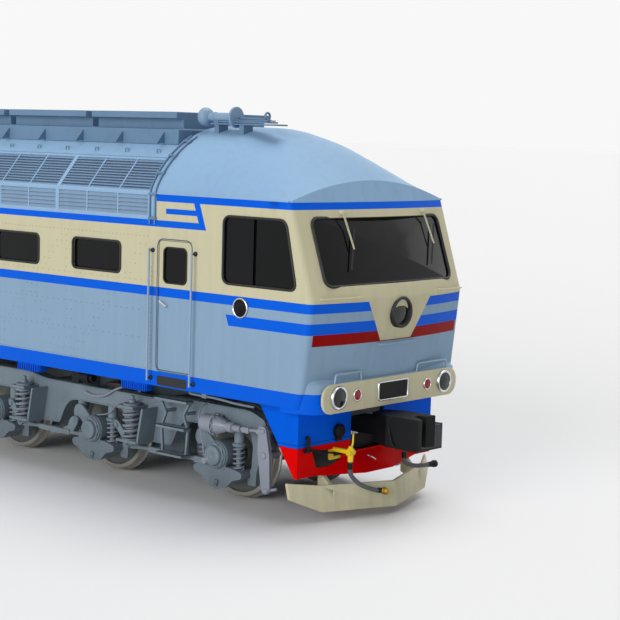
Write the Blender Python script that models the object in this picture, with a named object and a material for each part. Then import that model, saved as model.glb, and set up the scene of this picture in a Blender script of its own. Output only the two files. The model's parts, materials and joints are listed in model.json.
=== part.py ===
"""Diesel passenger locomotive with two cabs on two three-axle bogies, at its real size in metres.

The frame: +X is forward, towards the front cab, +Y is to the left, and z = 0 is the lowest point of
the wheel flanges. The rear half of the locomotive is the front half turned by 180 degrees about Z.
Places near the front cab are measured from the leading axle: STATION + distance.
"""

import math

import bmesh
import bpy
from mathutils import Matrix, Vector

for old in list(bpy.data.objects):
    bpy.data.objects.remove(old, do_unlink=True)

# Clearances
TOUCH = 0.0004
RUNNING = 0.006

# Wheels and axles
FLANGE = 0.03
WHEEL_R = 0.61
WHEEL_INNER_Y = 0.705
TREAD_WIDTH = 0.14
FLANGE_T = 0.045
RIM = 0.08
HUB_R = 0.20
HUB_WIDTH = 0.18
WEB = 0.09
AXLE_R = 0.095
JOURNAL_R = 0.085
JOURNAL_END_Y = 1.18
AXLE_Z = FLANGE + WHEEL_R
WHEEL_SIDES = 18

# Bogies: the three axles stand at these distances behind the leading one
PIVOT_X = 6.14
GAP_LEADING = 2.40
GAP_TRAILING = 2.12
BOGIE_BASE = GAP_LEADING + GAP_TRAILING
STATION = PIVOT_X + BOGIE_BASE / 2
FRAME_Y = 1.02
FRAME_T = 0.20
FRAME_TOP = 1.27
FRAME_LOW = 1.00
FRAME_FOOT_Z = 0.63
BOX_R = 0.19
BOX_IN_Y = 0.93
BOX_OUT_Y = 1.33
CAP_R = 0.14
CAP_OUT_Y = 1.38
SADDLE_Y = (1.0, 1.27)
SMALL_SPRING_X = (-0.34, 0.28)
SMALL_SPRING_Y = 1.15
SMALL_SPRING_R = 0.085
LEG_Y = (1.03, 1.10)
BIG_SPRING_BACK = 0.30
BIG_SPRING_Y = 1.37
BIG_SPRING_R = 0.135
BIG_SPRING_Z = (0.66, 1.06)
BIG_SPRING_COILS = 4
SPRING_SUNK = 0.02
SPRING_WAVE = 0.03
SEAT_T = 0.05
SEAT_HALF = 0.15
LINK_Y = (1.28, 1.34)
LINK_R = 0.03
CYLINDER_Y = 1.345
CYLINDER_Z = 1.05
LEVER_Y = (1.30, 1.36)
LEVER_PIN = (0.88, 0.77, 0.035)
BRACKET_Y = (1.12, 1.19)
LADDER_X = (-0.95, -0.35)
LADDER_Y = (1.38, 1.50)
#         height, how far in each end is from the ladder's own ends
LADDER_TREADS = (
    (0.56, 0.06),
    (0.92, 0.03),
    (1.28, -0.01),
)
TREAD_T = 0.03
LADDER_BAR = 0.04
LADDER_ARM_Z = 1.10
CENTRE_PLATE_R = 0.26
CENTRE_PLATE_Z = 1.39
KING_PIN_LOW = 1.12
KING_PIN_R = 0.09
KING_PIN_HOLE_R = 0.12
BEAM_HALF = 0.16
BEAM_Z = (0.88, 1.18)
END_BEAM_HALF = 0.07
END_BEAM_Z = (1.02, 1.16)
CENTRE_BEAM_HALF = 0.34
CENTRE_BEAM_Z = (1.04, 1.30)
FRAME_AHEAD = 0.78
FRAME_BEHIND = 0.85
FRAME_DIP = 0.06
FRAME_END_DROP = 0.10
ARCH_SHOULDER = 0.12
MOTOR_HALF = 0.55
MOTOR_Z = (0.30, 0.42, 0.95)
MOTOR_SLOPE = 0.12
#        number of the axle, start, end
MOTORS = (
    (0, -1.08, -0.16),
    (1, 0.16, 1.08),
    (2, 0.16, 0.96),
)

# Outlines of the bogie's castings in side view: ahead of the axle, height
SADDLE = (
    (-0.42, 0.46), (-0.42, 0.38), (-0.28, 0.34), (-0.15, 0.24), (0.0, 0.20), (0.15, 0.24), (0.26, 0.34),
    (0.43, 0.38), (0.43, 0.46), (0.2, 0.50), (-0.2, 0.50),
)
WEDGE_ARM = ((-0.40, 0.70), (-0.36, 0.95), (-0.22, 0.95), (0.12, 0.66), (0.12, 0.52), (-0.20, 0.55))
GUIDE_LEG = ((0.40, FRAME_LOW + 0.02), (0.66, FRAME_LOW + 0.02), (0.53, 0.44), (0.53, 0.28), (0.40, 0.28))
LINK_PLATE = ((-0.56, 0.52), (-0.42, 0.52), (-0.28, 0.70), (-0.34, 0.78), (-0.44, 0.74))
LEVER = ((0.80, 1.13), (0.90, 1.13), (0.98, 0.78), (1.00, 0.34), (0.94, 0.28), (0.86, 0.32), (0.79, 0.80))
LEVER_BRACKET = ((0.68, FRAME_LOW + 0.02), (0.82, 0.72), (0.94, 0.72), (0.76, FRAME_LOW + 0.14))
# from the middle of the big spring
LINK_LUG = ((0.04, 0.66), (0.04, 0.50), (0.16, 0.48), (0.18, 0.63))
GUSSET_FOOT = (0.17, 0.25)
GUSSET_HEAD = (0.27, 0.34)
#        along the axis, radius
AXLE_BOX = (
    (BOX_IN_Y, BOX_R),
    (BOX_OUT_Y, BOX_R),
    (BOX_OUT_Y, CAP_R),
    (CAP_OUT_Y, CAP_R),
)
BRAKE_CYLINDER = (
    (-0.17, 0.12),
    (0.06, 0.12),
    (0.06, 0.14),
    (0.16, 0.14),
    (0.36, 0.07),
    (0.48, 0.045),
)
PUSH_ROD = (0.45, 0.84, 0.028)
LINK_Z = 0.54

# Body
HALF_W = 1.543
WALL = 0.06
SILL_Z = 1.46
DECK_T = 0.16
GUTTER_Z = 3.96
ROOM_CROWN_Z = 4.75
CAB_REAR = STATION - 1.05
ROOM_HALF = CAB_REAR - TOUCH

# Front face: where its corner and its middle stand ahead of the leading axle, by height
#         height, corner, bulge of the middle
NOSE = (
    (1.46, 1.58, 0.13),
    (1.75, 1.65, 0.13),
    (2.79, 1.76, 0.19),
    (3.96, 1.38, 0.10),
    (5.00, 1.04, 0.05),
)
NOSE_CORNER_Y = 1.50

# Cab roof: crown height and how square its arch is, by distance from the leading axle
#        place, crown, arch power, arch root
CAB_ROOF = (
    (-1.05, 4.87, 2.2, 0.75),
    (-0.10, 4.85, 2.2, 0.78),
    (0.45, 4.72, 2.1, 0.84),
    (0.95, 4.50, 2.0, 0.92),
    (1.40, 4.21, 2.0, 1.00),
    (1.90, 3.99, 2.0, 1.00),
)

# Windows and doors
SCREEN_HALF = 1.28
SCREEN_Z = (2.95, 3.77)
GLASS_T = 0.012
GLASS_INSET = 0.018
CAB_WINDOW_Z = (2.90, 3.74)
CAB_WINDOW_X = (0.29, 1.31, 1.52)
DOOR_X = (-0.87, -0.27)
DOOR_Z = (1.67, 3.37)
DOOR_T = 0.04
DOOR_GAP = 0.008
DOOR_INSET = 0.012
DOOR_PIN_R = 0.012
DOOR_PIN_LENGTH = 0.05
DOOR_GLASS_X = (-0.78, -0.36)
DOOR_GLASS_Z = (2.82, 3.28)
ROOM_WINDOWS = (-2.07, -3.74)
ROOM_WINDOW_W = 0.96
ROOM_WINDOW_Z = (2.89, 3.30)
RAIL_R = 0.014
RAIL_OUT = 0.075
RAIL_X = (-0.97, -0.19)
RAIL_Z = (1.50, 3.27)

# Fittings of the front face
NOSE_LAMP_Z = 2.59
NOSE_LAMP_R = 0.20
NOSE_LAMP_RIM = 0.05
NOSE_LAMP_OUT = 0.05
GRAB_R = 0.014
GRAB_OUT = 0.05
#             right end, left end, height
GRAB_BARS = (
    (-1.40, -0.80, 2.815),
    (0.85, 1.44, 2.815),
    (-0.35, 0.35, 2.20),
)
LOW_HANDLES = ((-1.11, -0.59), (0.54, 1.20))
LOW_HANDLE_Z = (1.80, 1.885)
BADGE_X = 0.612
BADGE_Z = 2.614
BADGE_R = 0.125
BADGE_OUT = 0.014

# Louvres
LOUVRE_DEPTH = 0.075
LOUVRE_LOW_Z = 3.64
SHOULDER = (1.17, 4.42)
LOUVRE_MODULES = 8
SLATS_LOW = 5
SLATS_HIGH = 9
SLAT_DEPTH = 0.04
SLAT_SHARE = 0.75
BANK_EDGE = 0.03
BAR_W = 0.07

# Roof of the engine room from its shoulders to the crown, as (y, z)
ROOM_ROOF = ((0.95, 4.59), (0.78, 4.652), (0.6, 4.70), (0.3, 4.738), (0.0, ROOM_CROWN_Z))

# Hatches on the engine room and the platform with the horn on each cab
HATCH_BASE = (0.95, 4.80)
HATCH_NECK = (0.80, 4.94)
HATCH_LID = (0.93, 5.03)
HATCH_END_GAP = 0.10
LID_GAP = 0.12
#            ahead of the leading axle: start, end; half width; height: low, high
PLATFORM = (
    (-0.85, 0.39, 0.66, 4.875, 4.895),
    (-0.80, 0.20, 0.60, 4.893, 4.945),
)
PLATFORM_RESTS = (-0.75, -0.30)
HORN_Y = -0.60
HORN_Z = 4.99
#        ahead of the leading axle, radius
HORN = (
    (-1.08, 0.05),
    (-1.03, 0.115),
    (-0.93, 0.115),
    (-0.87, 0.062),
    (-0.45, 0.062),
    (-0.45, 0.125),
    (-0.42, 0.125),
)
HORN_POST = (-0.80, -0.70)
LIFTING_RING = (0.075, 0.55, 4.985)
RING_R = 0.05
RING_HOLE_R = 0.026
RING_HALF = 0.012

# Front end below the cab
LAMP_PANEL_X = 1.84
LAMP_PANEL_HALF = 1.37
LAMP_PANEL_Z = (1.405, 1.765)
LAMP_PANEL_T = 0.03
LAMP_OUT = 0.03
#        across, radius, sides
LAMPS = (
    (1.08, 0.15, 16),
    (0.72, 0.08, 8),
)
PLATE_HALF = (0.30, 0.12)
PLATE_OUT = 0.02
APRON_X = 1.45
APRON_HALF = 1.36
APRON_T = 0.03
APRON_LOW = 0.56
APRON_CHEEK_X = 0.80
COUPLER_SLOT = (0.34, 0.78, 1.38)
#            half width, height of the top edge; out, half width, height of the low edge; half width at the foot
DEFLECTOR = (0.30, 0.77, 0.22, 0.28, 0.53, 1.05)
DEFLECTOR_T = 0.02
#        ahead of the leading axle: low edge; height: low, high; half width
PLOW = (
    (1.40, 0.30, 0.50, 1.42),
    (1.62, 0.13, 0.46, 1.06),
    (1.97, 0.11, 0.43, 0.0),
)
PLOW_T = 0.04
PLOW_LEAN = 0.05
PLOW_ARM_Y = 0.85
PLOW_ARM = ((1.38, 0.35), (1.66, 0.25), (1.66, 0.36), (1.4495, APRON_LOW - TOUCH), (1.38, APRON_LOW - TOUCH))
APRON_HATCH = ((-1.09, 0.885), (-0.50, 0.845), (-0.47, 0.635), (-1.00, 0.65))
SOCKET = (-0.60, 1.08, 0.085)
COUPLER_Z = 1.10
COUPLER_PIVOT_X = 0.95
COUPLER_PIN_R = 0.04
COUPLER_FACE_X = 2.45
COUPLER_HEAD_HALF = 0.20
DRAFT_HALF = 0.30
DRAFT_GAP_Z = 0.13
#            from the leading axle, across
COUPLER_HEAD = (
    (1.65, -0.10), (1.95, -0.26), (COUPLER_FACE_X, -0.24), (COUPLER_FACE_X, -0.17), (2.31, -0.08), (2.23, -0.06),
    (2.21, 0.07), (2.31, 0.10), (2.35, 0.24), (1.90, 0.24), (1.65, 0.10),
)
SHANK_Z = 0.11
JUMPER_PLATE = ((1.85, 0.22, 0.78), (2.10, 0.28, 1.26))
JUMPER_BOX = ((1.90, 0.27, 0.77), (2.06, 0.80, 1.10))
HOSE_R = 0.028
HOSE_TOP_Z = 0.73
COCK_X = 1.72
COCK_Z = 0.85
HEADER_SIDE = 0.04
COCK_PIPE_R = 0.03
COUPLING_R = 0.038
SLEEVE_LENGTH = 0.05
COUPLING_HEAD_R = 0.048
HEAD_LENGTH = 0.055

# Between the bogies
TANK_HALF = 2.55
TANK_HALF_W = 1.42
SIDE_SILL_DROP = 0.12
TANK_Z = (0.38, SILL_Z - SIDE_SILL_DROP - TOUCH)
ENGINE_HALF = (3.0, 0.65)
ENGINE_SHOULDER = (0.45, 2.5)
ENGINE_TOP = 3.15
SILL_BEAM_Y = 0.62
SILL_BEAM_W = 0.12
SILL_BEAM_PAST = 2.9
JOIN = 0.05
PAD_PLACE = (PIVOT_X - 3.35, 1.15)
PAD_HALF = 0.15
PAD_DROP = 0.10


# Colours: name, red, green, blue, roughness, metallic
PAINTS = {
    "roof_blue": (0.28, 0.43, 0.62, 0.45, 0.1),
    "side_blue": (0.25, 0.40, 0.56, 0.45, 0.1),
    "cream": (0.60, 0.56, 0.38, 0.45, 0.0),
    "bright_blue": (0.0, 0.10, 0.72, 0.4, 0.0),
    "bogie_grey": (0.13, 0.18, 0.21, 0.55, 0.3),
    "wheel_steel": (0.42, 0.42, 0.40, 0.4, 0.8),
    "black": (0.01, 0.01, 0.012, 0.5, 0.0),
    "glass": (0.012, 0.014, 0.018, 0.08, 0.0),
    "hose_rubber": (0.06, 0.07, 0.08, 0.7, 0.0),
    "cock_yellow": (0.75, 0.58, 0.0, 0.4, 0.0),
    "red": (0.62, 0.0, 0.0, 0.45, 0.0),
}


def paint(name):
    material = bpy.data.materials.get(name)
    if material is None:
        material = bpy.data.materials.new(name)
        material.use_nodes = True
        red, green, blue, rough, metal = PAINTS[name]
        shader = material.node_tree.nodes["Principled BSDF"]
        shader.inputs["Base Color"].default_value = (red, green, blue, 1)
        shader.inputs["Roughness"].default_value = rough
        shader.inputs["Metallic"].default_value = metal
        material.diffuse_color = (red, green, blue, 1)
    return material


# Building blocks


def make(name, points, faces, colour="black"):
    mesh = bpy.data.meshes.new(name)
    mesh.from_pydata([tuple(p) for p in points], [], faces)
    work = bmesh.new()
    work.from_mesh(mesh)
    bmesh.ops.remove_doubles(work, verts=work.verts, dist=1e-5)
    bmesh.ops.recalc_face_normals(work, faces=work.faces)
    work.to_mesh(mesh)
    work.free()
    obj = bpy.data.objects.new(name, mesh)
    bpy.context.scene.collection.objects.link(obj)
    mesh.materials.append(paint(colour))
    return obj


def loft(name, rings, colour="black"):
    """A skin over closed rings of equal count, with flat ends."""
    count = len(rings[0])
    points = [p for ring in rings for p in ring]
    faces = [tuple(range(count))]
    for row in range(len(rings) - 1):
        base = row * count
        for i in range(count):
            after = (i + 1) % count
            faces.append((base + i, base + after, base + count + after, base + count + i))
    last = (len(rings) - 1) * count
    faces.append(tuple(range(last, last + count)))
    return make(name, points, faces, colour)


def prism(name, outline, axis, low, high, colour="black"):
    """An outline in the plane across the axis, pushed from low to high along it."""

    def place(pair, along):
        spot = list(pair)
        spot.insert(axis, along)
        return spot

    return loft(name, [[place(p, low) for p in outline], [place(p, high) for p in outline]], colour)


def block(name, low, high, colour="black"):
    outline = [(low[1], low[2]), (high[1], low[2]), (high[1], high[2]), (low[1], high[2])]
    return prism(name, outline, 0, low[0], high[0], colour)


def turned(name, profile, centre, axis=1, sides=16, colour="black"):
    """A profile of (along, radius) turned about an axis through the centre."""
    rings = []
    for along, radius in profile:
        ring = []
        for i in range(sides):
            angle = 2 * math.pi * (i + 0.5) / sides
            spot = [radius * math.cos(angle), radius * math.sin(angle)]
            spot.insert(axis, along)
            ring.append([centre[k] + spot[k] for k in range(3)])
        rings.append(ring)
    obj = loft(name, rings, colour)
    smooth(obj)
    return obj


def bar(name, start, end, radius, sides=5, colour="black"):
    """A round bar between two points."""
    start, end = Vector(start), Vector(end)
    turn = (end - start).to_track_quat("Z", "Y")
    ring = [turn @ Vector((radius * math.cos(a), radius * math.sin(a), 0))
            for a in (2 * math.pi * (i + 0.5) / sides for i in range(sides))]
    return loft(name, [[start + spot for spot in ring], [end + spot for spot in ring]], colour)


def rounded(low, high, radius, steps=2):
    """A rectangle in the plane with round corners, as a list of pairs."""
    centres = (
        (high[0] - radius, high[1] - radius, 0),
        (low[0] + radius, high[1] - radius, 1),
        (low[0] + radius, low[1] + radius, 2),
        (high[0] - radius, low[1] + radius, 3),
    )
    points = []
    for x, y, quarter in centres:
        for i in range(steps + 1):
            angle = math.pi / 2 * (quarter + i / steps)
            points.append((x + radius * math.cos(angle), y + radius * math.sin(angle)))
    return points


def smooth(obj, degrees=35):
    obj.data.shade_smooth()
    obj.data.set_sharp_from_angle(angle=math.radians(degrees))


def settle(obj):
    """Applies the modifiers and frees the pieces that they used."""
    graph = bpy.context.evaluated_depsgraph_get()
    mesh = bpy.data.meshes.new_from_object(obj.evaluated_get(graph))
    obj.modifiers.clear()
    obj.data = mesh
    return obj


def combine(obj, pieces, operation):
    group = bpy.data.collections.new(obj.name + "_pieces")
    for piece in pieces:
        group.objects.link(piece)
    modifier = obj.modifiers.new("join", "BOOLEAN")
    modifier.operation = operation
    modifier.operand_type = "COLLECTION"
    modifier.collection = group
    modifier.solver = "EXACT"
    bpy.context.view_layer.update()
    settle(obj)
    bpy.data.collections.remove(group)
    for piece in pieces:
        bpy.data.objects.remove(piece, do_unlink=True)
    return obj


def join(obj, pieces):
    """Unites solids, one after the other, into the first."""
    return combine(obj, pieces, "UNION")


def cut(obj, pieces):
    return combine(obj, pieces, "DIFFERENCE")


def keep_inside(obj, piece):
    modifier = obj.modifiers.new("trim", "BOOLEAN")
    modifier.operation = "INTERSECT"
    modifier.object = piece
    modifier.solver = "EXACT"
    bpy.context.view_layer.update()
    settle(obj)
    bpy.data.objects.remove(piece, do_unlink=True)
    return obj


def copied(obj, name, matrix):
    """A copy of a solid moved by a matrix, its faces turned back out if the matrix mirrors."""
    other = obj.copy()
    other.data = obj.data.copy()
    other.name = name
    bpy.context.scene.collection.objects.link(other)
    other.data.transform(matrix)
    if matrix.determinant() < 0:
        other.data.flip_normals()
    return other


TURN = Matrix.Rotation(math.pi, 4, "Z")
MIRROR_Y = Matrix.Diagonal((1, -1, 1, 1))


def set_origin(obj, spot):
    obj.data.transform(Matrix.Translation(-Vector(spot)))
    obj.location = spot
    return obj


def at(distance):
    """World x of a place measured from the leading axle."""
    return STATION + distance


def shifted(outline, x):
    """An outline in side view, moved along by x."""
    return [(x + along, height) for along, height in outline]


# Shape of the front face and of the roof


def blend_rows(table, key):
    """Reads a table's other columns at a value of its first column, by straight lines."""
    rows = sorted(table)
    key = min(max(key, rows[0][0]), rows[-1][0])
    for low, high in zip(rows, rows[1:]):
        if key <= high[0]:
            share = (key - low[0]) / (high[0] - low[0])
            return [a + share * (b - a) for a, b in zip(low[1:], high[1:])]
    return list(rows[-1][1:])


def nose_x(y, z, inset=0.0):
    corner, bulge = blend_rows(NOSE, z)
    return at(corner + bulge * (1 - (y / NOSE_CORNER_Y) ** 2)) - inset


def plan_ring(z, inset):
    """The cab's outline seen from above at one height."""
    half = HALF_W - inset
    edge = NOSE_CORNER_Y - inset
    front = nose_x(NOSE_CORNER_Y, z, inset)
    ring = [(CAB_REAR + inset, -half, z), (front - 0.13, -half, z), (front - 0.035, -half + 0.012, z)]
    steps = 8
    for i in range(steps + 1):
        y = edge * (2 * i / steps - 1) * 0.985
        ring.append((nose_x(y, z, inset), y, z))
    ring += [(front - 0.035, half - 0.012, z), (front - 0.13, half, z), (CAB_REAR + inset, half, z)]
    return ring


def arch(width, base, crown, power, root, steps):
    """Half arch from the gutter to the crown, as (y, z) for y from width down to 0."""
    points = []
    for i in range(steps + 1):
        share = math.cos(math.pi / 2 * i / steps)
        points.append((width * share, base + (crown - base) * (1 - share**power) ** root))
    return points


def cab_solid(name, inset, low):
    walls = loft(name, [plan_ring(z, inset) for z in [low] + [row[0] for row in NOSE[1:]]])
    rings = []
    wide = HALF_W - inset + 0.05
    for place, crown, power, root in CAB_ROOF:
        half = arch(HALF_W - inset + 0.002, GUTTER_Z, crown - inset, power, root, 3 if inset > 0 else 6)
        ring = [(wide, low - 0.1), (wide, GUTTER_Z - 0.02)] + half
        ring += [(-y, z) for y, z in reversed(ring[:-1])]
        x = at(place)
        if place == CAB_ROOF[0][0]:
            x += inset - 0.01
        rings.append([(x, y, z) for y, z in ring])
    roof = loft(name + "_roof", rings)
    return keep_inside(walls, roof)


def side_cutter(outline, side=0):
    """A cutter through the side walls, with its outline in x and z: side -1, 1 or 0 for both."""
    low, high = {-1: (-2, -1), 1: (1, 2), 0: (-2, 2)}[side]
    return prism("cutter", outline, 1, low, high)


def cab_window_outline(gap=0.0):
    rear, top, front = (at(x) for x in CAB_WINDOW_X)
    low, high = CAB_WINDOW_Z
    r = 0.09
    return [
        (rear + gap, low + r), (rear + 0.03 + gap, low + 0.03 + gap), (rear + r, low + gap),
        (front - r, low + gap), (front - 0.01 - gap, low + 0.03 + gap), (front - gap, low + r),
        (top + 0.035 - gap, high - r), (top - 0.01 - gap, high - 0.03 - gap), (top - r, high - gap),
        (rear + r, high - gap), (rear + 0.03 + gap, high - 0.03 - gap), (rear + gap, high - r),
    ]


def span(pair, gap=0.0):
    return at(pair[0]) + gap, at(pair[1]) - gap


def handrail(x, side):
    """A vertical rail on two feet, overlapping the wall."""
    out = HALF_W + RAIL_OUT
    low, high = RAIL_Z
    rail = turned("rail", [(low, RAIL_R), (high, RAIL_R)], (x, side * out, 0), 2, 5)
    feet = []
    for z in (low + 0.05, high - 0.05):
        ends = sorted((side * (HALF_W - 0.02), side * out))
        feet.append(turned("foot", [(ends[0], RAIL_R * 0.9), (ends[1], RAIL_R * 0.9)], (x, 0, z), 1, 4))
    return [rail] + feet


def front_fittings():
    """The round lamp, the grab bars, the low handles and the badges, each set into the wall."""
    spot = nose_x(0, NOSE_LAMP_Z)
    rim = NOSE_LAMP_R - NOSE_LAMP_RIM
    lamp = [(spot - JOIN, NOSE_LAMP_R), (spot + NOSE_LAMP_OUT, NOSE_LAMP_R), (spot + NOSE_LAMP_OUT, rim),
            (spot + 0.4 * NOSE_LAMP_OUT, rim)]
    pieces = [turned("lamp", lamp, (0, 0, NOSE_LAMP_Z), 0, 14)]
    for low, high, z in GRAB_BARS:
        ends = [Vector((nose_x(y, z) + GRAB_OUT, y, z)) for y in (low, high)]
        pieces.append(bar("grab_bar", ends[0], ends[1], GRAB_R))
        for end in ends:
            y = end.y - math.copysign(GRAB_R, end.y)
            pieces.append(bar("foot", (end.x - GRAB_OUT - 0.02, y, z), (end.x + 0.001, y, z), GRAB_R * 0.9))
    low, high = LOW_HANDLE_Z
    x = at(LAMP_PANEL_X) - 0.10
    for ends in LOW_HANDLES:
        for y in ends:
            pieces.append(bar("post", (x, y, low - 0.02), (x, y, high), GRAB_R))
        pieces.append(bar("handle", (x, ends[0], high), (x, ends[1], high), GRAB_R * 1.1))
    for side in (-1, 1):
        wall = sorted((side * (HALF_W - 0.02), side * (HALF_W + BADGE_OUT)))
        pieces.append(turned("badge", [(y, BADGE_R) for y in wall], (at(BADGE_X), 0, BADGE_Z), 1, 12))
    return pieces


def cab_shell():
    shell = cab_solid("cab_front_shell", 0.0, SILL_Z)
    hollow = cab_solid("hollow", WALL, SILL_Z - 0.2)
    door = prism("cutter", [(span(DOOR_X)[0], DOOR_Z[0]), (span(DOOR_X)[1], DOOR_Z[0]),
                            (span(DOOR_X)[1], DOOR_Z[1]), (span(DOOR_X)[0], DOOR_Z[1])], 1, -2, 2)
    screen = prism("cutter", rounded((-SCREEN_HALF, SCREEN_Z[0]), (SCREEN_HALF, SCREEN_Z[1]), 0.1),
                   0, at(0.9), at(2.5))
    cut(shell, [hollow])
    seat = block("cutter", (CAB_REAR - 0.1, -HALF_W + WALL, SILL_Z - 0.1),
                 (CAB_REAR + WALL + 0.1, HALF_W - WALL, SILL_Z + DECK_T + TOUCH))
    cut(shell, [side_cutter(cab_window_outline()), door, screen, seat])
    rails = [piece for x in RAIL_X for side in (-1, 1) for piece in handrail(at(x), side)]
    rails += front_fittings()
    ledge = loft("ledge", [lamp_housing_ring(z) for z in (LAMP_PANEL_Z[0], 1.80, 1.90)])
    hollow = cab_solid("hollow", WALL, SILL_Z - 0.2)
    cut(ledge, [hollow])
    join(shell, rails + [ledge])
    shell.data.materials.clear()
    shell.data.materials.append(paint("side_blue"))
    return shell


def lamp_housing_ring(z):
    """The ledge that carries the lamp panel, seen from above."""
    front = LAMP_PANEL_X - LAMP_PANEL_T - TOUCH
    if z > 1.85:
        front -= 0.12
    rows = [(1.30, HALF_W - 0.02), (1.60, HALF_W - 0.05), (front, LAMP_PANEL_HALF - 0.06)]
    ring = [(at(x), -y, z) for x, y in rows]
    return ring + [(at(x), y, z) for x, y in reversed(rows)]


def windscreen():
    rows = []
    for step in range(4):
        z = SCREEN_Z[0] - 0.05 + step / 3 * (SCREEN_Z[1] - SCREEN_Z[0] + 0.1)
        ys = [SCREEN_HALF * 1.05 * (2 * i / 8 - 1) for i in range(9)]
        ring = [(nose_x(y, z, GLASS_INSET), y, z) for y in ys]
        ring += [(nose_x(y, z, GLASS_INSET + GLASS_T), y, z) for y in reversed(ys)]
        rows.append(ring)
    glass = loft("windscreen_front", rows, "glass")
    trim = prism("trim", rounded((-SCREEN_HALF + TOUCH, SCREEN_Z[0] + TOUCH),
                                 (SCREEN_HALF - TOUCH, SCREEN_Z[1] - TOUCH), 0.1), 0, at(0.9), at(2.5))
    return keep_inside(glass, trim)


def cab_window():
    near = HALF_W - GLASS_INSET
    glass = prism("cab_window_front_right", cab_window_outline(TOUCH), 1, -near, -near + GLASS_T, "glass")
    bar_x = at(0.79)
    bar = block("bar", (bar_x - 0.02, -HALF_W - 0.008, CAB_WINDOW_Z[0] + 0.001),
                (bar_x + 0.02, -near + 0.006, CAB_WINDOW_Z[1] - 0.001))
    return join(glass, [bar])


def door_leaf():
    """A door that opens inwards about a pin at its rear edge."""
    outer = HALF_W - DOOR_INSET
    x0, x1 = span(DOOR_X, DOOR_GAP)
    z0, z1 = DOOR_Z[0] + DOOR_GAP, DOOR_Z[1] - DOOR_GAP
    leaf = prism("door_front_right", [(x0, z0), (x1, z0), (x1, z1), (x0, z1)], 1,
                 -outer, -outer + DOOR_T, "side_blue")
    window = prism("cutter", rounded((at(DOOR_GLASS_X[0]), DOOR_GLASS_Z[0]),
                                     (at(DOOR_GLASS_X[1]), DOOR_GLASS_Z[1]), 0.06), 1, -2, 2)
    cut(leaf, [window])
    pins = []
    for low, high in ((DOOR_Z[0] + TOUCH, z0 + DOOR_PIN_LENGTH), (z1 - DOOR_PIN_LENGTH, DOOR_Z[1] - TOUCH)):
        pins.append(turned("pin", [(low, DOOR_PIN_R), (high, DOOR_PIN_R)], (*door_hinge(), 0), 2, 12))
    return join(leaf, pins)


def door_hinge():
    """The pin stands at the inner rear corner of the leaf, so that no corner swings into the jamb."""
    return span(DOOR_X, DOOR_GAP)[0] + DOOR_PIN_R, -(HALF_W - DOOR_INSET - DOOR_T)


def door_glass():
    middle = HALF_W - DOOR_INSET - DOOR_T / 2
    return prism("door_glass_front_right",
                 rounded((at(DOOR_GLASS_X[0]) + TOUCH, DOOR_GLASS_Z[0] + TOUCH),
                         (at(DOOR_GLASS_X[1]) - TOUCH, DOOR_GLASS_Z[1] - TOUCH), 0.06),
                 1, -middle - GLASS_T / 2, -middle + GLASS_T / 2, "glass")


# Engine room


def room_outline(inset):
    """Half of the engine room's section, from the sill up to the crown, as (y, z)."""
    wall = HALF_W - inset
    deep = HALF_W - LOUVRE_DEPTH - TOUCH - inset
    points = [(wall, SILL_Z if not inset else SILL_Z - 0.2), (wall, LOUVRE_LOW_Z - TOUCH - inset)]
    points += [(deep, LOUVRE_LOW_Z - TOUCH - inset), (deep, GUTTER_Z - 0.04)]
    points += [(SHOULDER[0] - 0.055 - inset * 0.8, SHOULDER[1] - 0.04 - inset * 0.6)]
    if not inset:
        points += [(SHOULDER[0] + 0.003, SHOULDER[1] + 0.006)]
    points += [(y, z - inset) for y, z in ROOM_ROOF]
    return points


def engine_room():
    def ring(inset, x):
        half = room_outline(inset)
        return [(x, y, z) for y, z in half] + [(x, -y, z) for y, z in reversed(half[:-1])]

    shell = loft("engine_room_shell", [ring(0.0, -ROOM_HALF), ring(0.0, ROOM_HALF)], "side_blue")
    hollow = loft("hollow", [ring(WALL, -ROOM_HALF - 0.1), ring(WALL, ROOM_HALF + 0.1)])
    cut(shell, [hollow])
    windows = []
    for end in (-1, 1):
        for middle in ROOM_WINDOWS:
            x = end * at(middle)
            half = ROOM_WINDOW_W / 2
            windows.append(side_cutter(rounded((x - half, ROOM_WINDOW_Z[0]), (x + half, ROOM_WINDOW_Z[1]), 0.06)))
    return cut(shell, windows)


def room_glass():
    """Two panes in one inner frame rail, seated inside the wall."""
    outer = HALF_W - WALL + TOUCH
    panes = []
    for middle in ROOM_WINDOWS:
        x = at(middle)
        half = ROOM_WINDOW_W / 2 - TOUCH
        outline = rounded((x - half, ROOM_WINDOW_Z[0] + TOUCH), (x + half, ROOM_WINDOW_Z[1] - TOUCH), 0.06)
        panes.append(prism("pane", outline, 1, -HALF_W + 0.03, -outer + 0.02, "glass"))
    low, high = at(ROOM_WINDOWS[1]), at(ROOM_WINDOWS[0])
    rail = block("room_windows_front_right", (low - 0.4, -HALF_W + WALL + TOUCH, ROOM_WINDOW_Z[0] - 0.03),
                 (high + 0.4, -HALF_W + WALL + 0.02, ROOM_WINDOW_Z[0] + 0.04), "glass")
    return join(rail, panes)


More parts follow.
